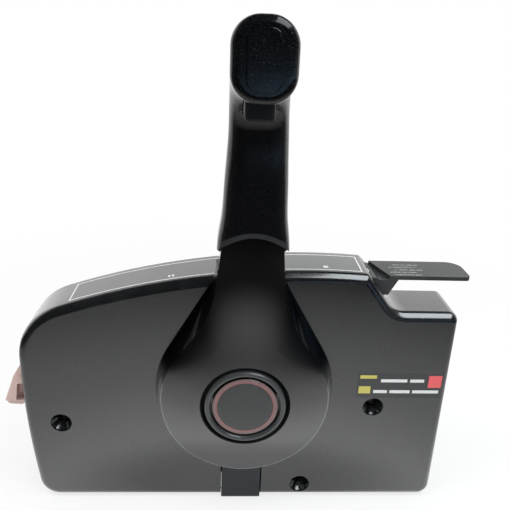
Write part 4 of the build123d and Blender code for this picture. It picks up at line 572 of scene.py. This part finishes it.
frontCorners = [item for item in grown["geom"] if isinstance(item, bmesh.types.BMVert)]
bmesh.ops.translate(bm, vec=(0, -(marking["lift"] + marking["sunk"]) * mm, 0), verts=frontCorners)
bmesh.ops.recalc_face_normals(bm, faces=bm.faces)
finish = skin("markingFilm", filmSkin)
tree, axes, colour = finish["tree"], splitAxes(finish["tree"], finish["position"]), finish["colour"]
for tone, prints in marking["prints"]:
    for limits in prints:
        colour = blendColour(tree, window(tree, axes["X"], axes["Z"], *limits), colour, tone)
join(tree, colour, finish["shader"].inputs["Base Color"])
markingPatch = addPiece("marking_patch", bm, finish["material"])
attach(markingPatch, "housing")
print("marking patch done")


# seats in the mounting pockets: glossy black cones that catch one small light each
seats = {"places": ((-113.5, -26.7), (81.7, -13.4), (38.8, -74.9)), "outer": 6.3, "inner": 3.4, "front": 41.0,
         "back": 36.4, "sides": 48}
seatBlack = {"colour": (0.004, 0.0045, 0.005), "clouded": (0.006, 0.0065, 0.007), "rubbed": (0.02, 0.02, 0.021),
             "roughness": (0.15, 0.2), "relief": 0.05, "coat": 1.0, "coatRoughness": 0.08, "specular": 1.0}
bm = bmesh.new()
for across, up in seats["places"]:
    corners = [bm.verts.new(((across + radius) * mm, -depth * mm, up * mm)) for radius, depth in
               ((seats["outer"], seats["front"]), (seats["inner"], seats["back"]),
                (seats["outer"], seats["back"]))]
    edges = [bm.edges.new((corners[step], corners[(step + 1) % 3])) for step in range(3)]
    bmesh.ops.spin(bm, geom=corners + edges, cent=(across * mm, 0, up * mm), axis=(0, 1, 0), dvec=(0, 0, 0),
                   angle=math.radians(360), steps=seats["sides"], use_merge=True, use_duplicate=False)
bmesh.ops.recalc_face_normals(bm, faces=bm.faces)
mountingSeats = addPiece("mounting_seats", bm, skin("seatBlack", seatBlack)["material"])
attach(mountingSeats, "housing")
print("mounting seats done")


def addSheet(name, halfSize, rise, material):
    # a flat square under the part, this far above its lowest point
    sheet = bmesh.new()
    bmesh.ops.create_grid(sheet, x_segments=1, y_segments=1, size=halfSize)
    bmesh.ops.translate(sheet, vec=(0, 0, cadBox[0][2] + rise), verts=sheet.verts)
    return addPiece(name, sheet, material)


def mixShaders(tree, share, first, second):
    mix = addNode(tree, "ShaderNodeMixShader")
    join(tree, share, mix.inputs[0])
    join(tree, first.outputs[0], mix.inputs[1])
    join(tree, second.outputs[0], mix.inputs[2])
    join(tree, mix.outputs[0], tree.nodes["Material Output"].inputs["Surface"])


# floor: pale paper that keeps the shadow near the part and fades to white further out
paperLook = {"halfSize": 5.6, "rise": -0.0003, "colour": (0.86, 0.86, 0.86, 1), "roughness": 0.9,
             "specular": 0.1, "fade": (0.18, 0.6), "nearWhite": 0.72}
paperFinish = startFinish("floorPaper")
tree, paper = paperFinish["tree"], paperFinish["shader"]
paper.inputs["Base Color"].default_value = paperLook["colour"]
paper.inputs["Roughness"].default_value = paperLook["roughness"]
paper.inputs["Specular IOR Level"].default_value = paperLook["specular"]
white = addNode(tree, "ShaderNodeEmission", Color=(1, 1, 1, 1), Strength=1.0)
rays = addNode(tree, "ShaderNodeLightPath").outputs
seen = greatest(tree, rays["Is Camera Ray"], rays["Is Glossy Ray"], rays["Is Transmission Ray"])
fromMiddle = addNode(tree, "ShaderNodeVectorMath", operation="LENGTH")
join(tree, paperFinish["position"], fromMiddle.inputs[0])
fade = spread(tree, fromMiddle.outputs["Value"], *paperLook["fade"], paperLook["nearWhite"], 1.0)
mixShaders(tree, product(tree, seen, fade), paper, white)
floor = addSheet("floor", paperLook["halfSize"], paperLook["rise"], paperFinish["material"])

# black cloth round the part, lengths in metres: only reflections see it, so it paints shade into them: upright
# faces darken towards their tops, a darker patch at the part's foot is a painted shadow, and a bluish glow far
# out is a painted sheen on the knob
cloth = {"halfSize": 5.5, "rise": 0.001, "narrow": 0.85, "open": (0.05, 0.35),
         "steps": ((0.1, 0.21, 0.42), (0.2, 0.36, 0.3), (0.34, 0.43, 0.28)),
         "glow": (0.42, 0.68, 1.0, 1), "glowLevel": 1.3, "glowNear": (1.3, 1.9), "glowFar": (2.3, 3.6),
         "glowSide": (-0.2, 0.3)}
clothFootShadow = {"centre": (0.0, -0.06), "size": (0.11, 0.036), "edge": (0.5, 1.3), "share": 0.42}
clothFinish = startFinish("clothShadeAndSheen")
tree, axes = clothFinish["tree"], splitAxes(clothFinish["tree"], clothFinish["position"])
tree.nodes.remove(clothFinish["shader"])
reach = distance(tree, mathNode(tree, "MULTIPLY", axes["X"], cloth["narrow"]), axes["Y"])
cover = fold(tree, "ADD", [spread(tree, reach, near, far, 0.0, share) for near, far, share in cloth["steps"]])
cover = product(tree, cover, spread(tree, axes["Y"], *cloth["open"], 1.0, 0.0))
# painted shadow: a darker patch at the part's foot, seen only in reflections
footAcross, footAlong = [
    mathNode(tree, "DIVIDE", mathNode(tree, "SUBTRACT", axes[axis], centre), width)
    for axis, centre, width in zip("XY", clothFootShadow["centre"], clothFootShadow["size"])]
footReach = distance(tree, footAcross, footAlong)
cover = greatest(tree, cover, spread(tree, footReach, *clothFootShadow["edge"], clothFootShadow["share"], 0.0))
glowing = product(tree, spread(tree, reach, *cloth["glowNear"], 0.0, cloth["glowLevel"]),
                  spread(tree, reach, *cloth["glowFar"], 1.0, 0.0),
                  spread(tree, axes["X"], *cloth["glowSide"], 0.0, 1.0))
# painted sheen: a bluish glow, seen only in reflections
sheenGlow = addNode(tree, "ShaderNodeEmission", Color=cloth["glow"])
join(tree, glowing, sheenGlow.inputs["Strength"])
mixShaders(tree, cover, addNode(tree, "ShaderNodeBsdfTransparent"), sheenGlow)
reflectedShadeCloth = addSheet("reflectedShadeCloth", cloth["halfSize"], cloth["rise"], clothFinish["material"])
for sight in ("visible_camera", "visible_diffuse", "visible_transmission", "visible_shadow"):
    setattr(reflectedShadeCloth, sight, False)

# world: white to the camera, soft to matt surfaces, and to glossy ones bright only low down behind
room = {"diffuse": 0.55, "ceiling": 0.02, "back": 1.05, "front": 0.006, "ceilingTurn": (0.4, 0.7),
        "backTurn": (-0.1, 0.5)}
world = bpy.data.worlds.new("studio")
world.use_nodes = True
scene.world = world
tree = world.node_tree
ambient = tree.nodes["Background"]
heading = splitAxes(tree, addNode(tree, "ShaderNodeTexCoord").outputs["Generated"])
behind = spread(tree, heading["Z"], *room["ceilingTurn"], room["back"], room["ceiling"])
toBack = spread(tree, heading["Y"], *room["backTurn"], 0.0, 1.0)
reflected = greatest(tree, product(tree, behind, toBack), room["front"])
rays = addNode(tree, "ShaderNodeLightPath").outputs
glossy = greatest(tree, rays["Is Glossy Ray"], rays["Is Transmission Ray"])
matt = mathNode(tree, "SUBTRACT", 1.0, glossy)
strength = mathNode(tree, "ADD", product(tree, glossy, reflected), product(tree, matt, room["diffuse"]))
ambient.inputs["Color"].default_value = (1, 1, 1, 1)
join(tree, greatest(tree, strength, rays["Is Camera Ray"]), ambient.inputs["Strength"])

lamps = {"overheadLamp": {"place": (0.56, -0.72, 0.98), "turn": (0, 0, 0), "size": (0.66, 1.65),
                          "power": 15.0, "colour": (0.9, 0.96, 1.0), "reflected": True},
         "leftLamp": {"place": (-0.5, -0.3, 0.95), "turn": (-18, -25, 0), "size": (0.5, 0.5),
                      "power": 6.0, "colour": (1.0, 1.0, 1.0), "reflected": False}}
for name, lamp in lamps.items():
    data = bpy.data.lights.new(name, "AREA")
    data.shape = "RECTANGLE"
    data.size, data.size_y = lamp["size"]
    data.energy = lamp["power"]
    data.color = lamp["colour"]
    light = bpy.data.objects.new(name, data)
    scene.collection.objects.link(light)
    light.location = lamp["place"]
    light.rotation_euler = [math.radians(angle) for angle in lamp["turn"]]
    light.visible_camera = False
    light.visible_glossy = lamp["reflected"]
scene.view_settings.view_transform = "Standard"
print("studio lit")
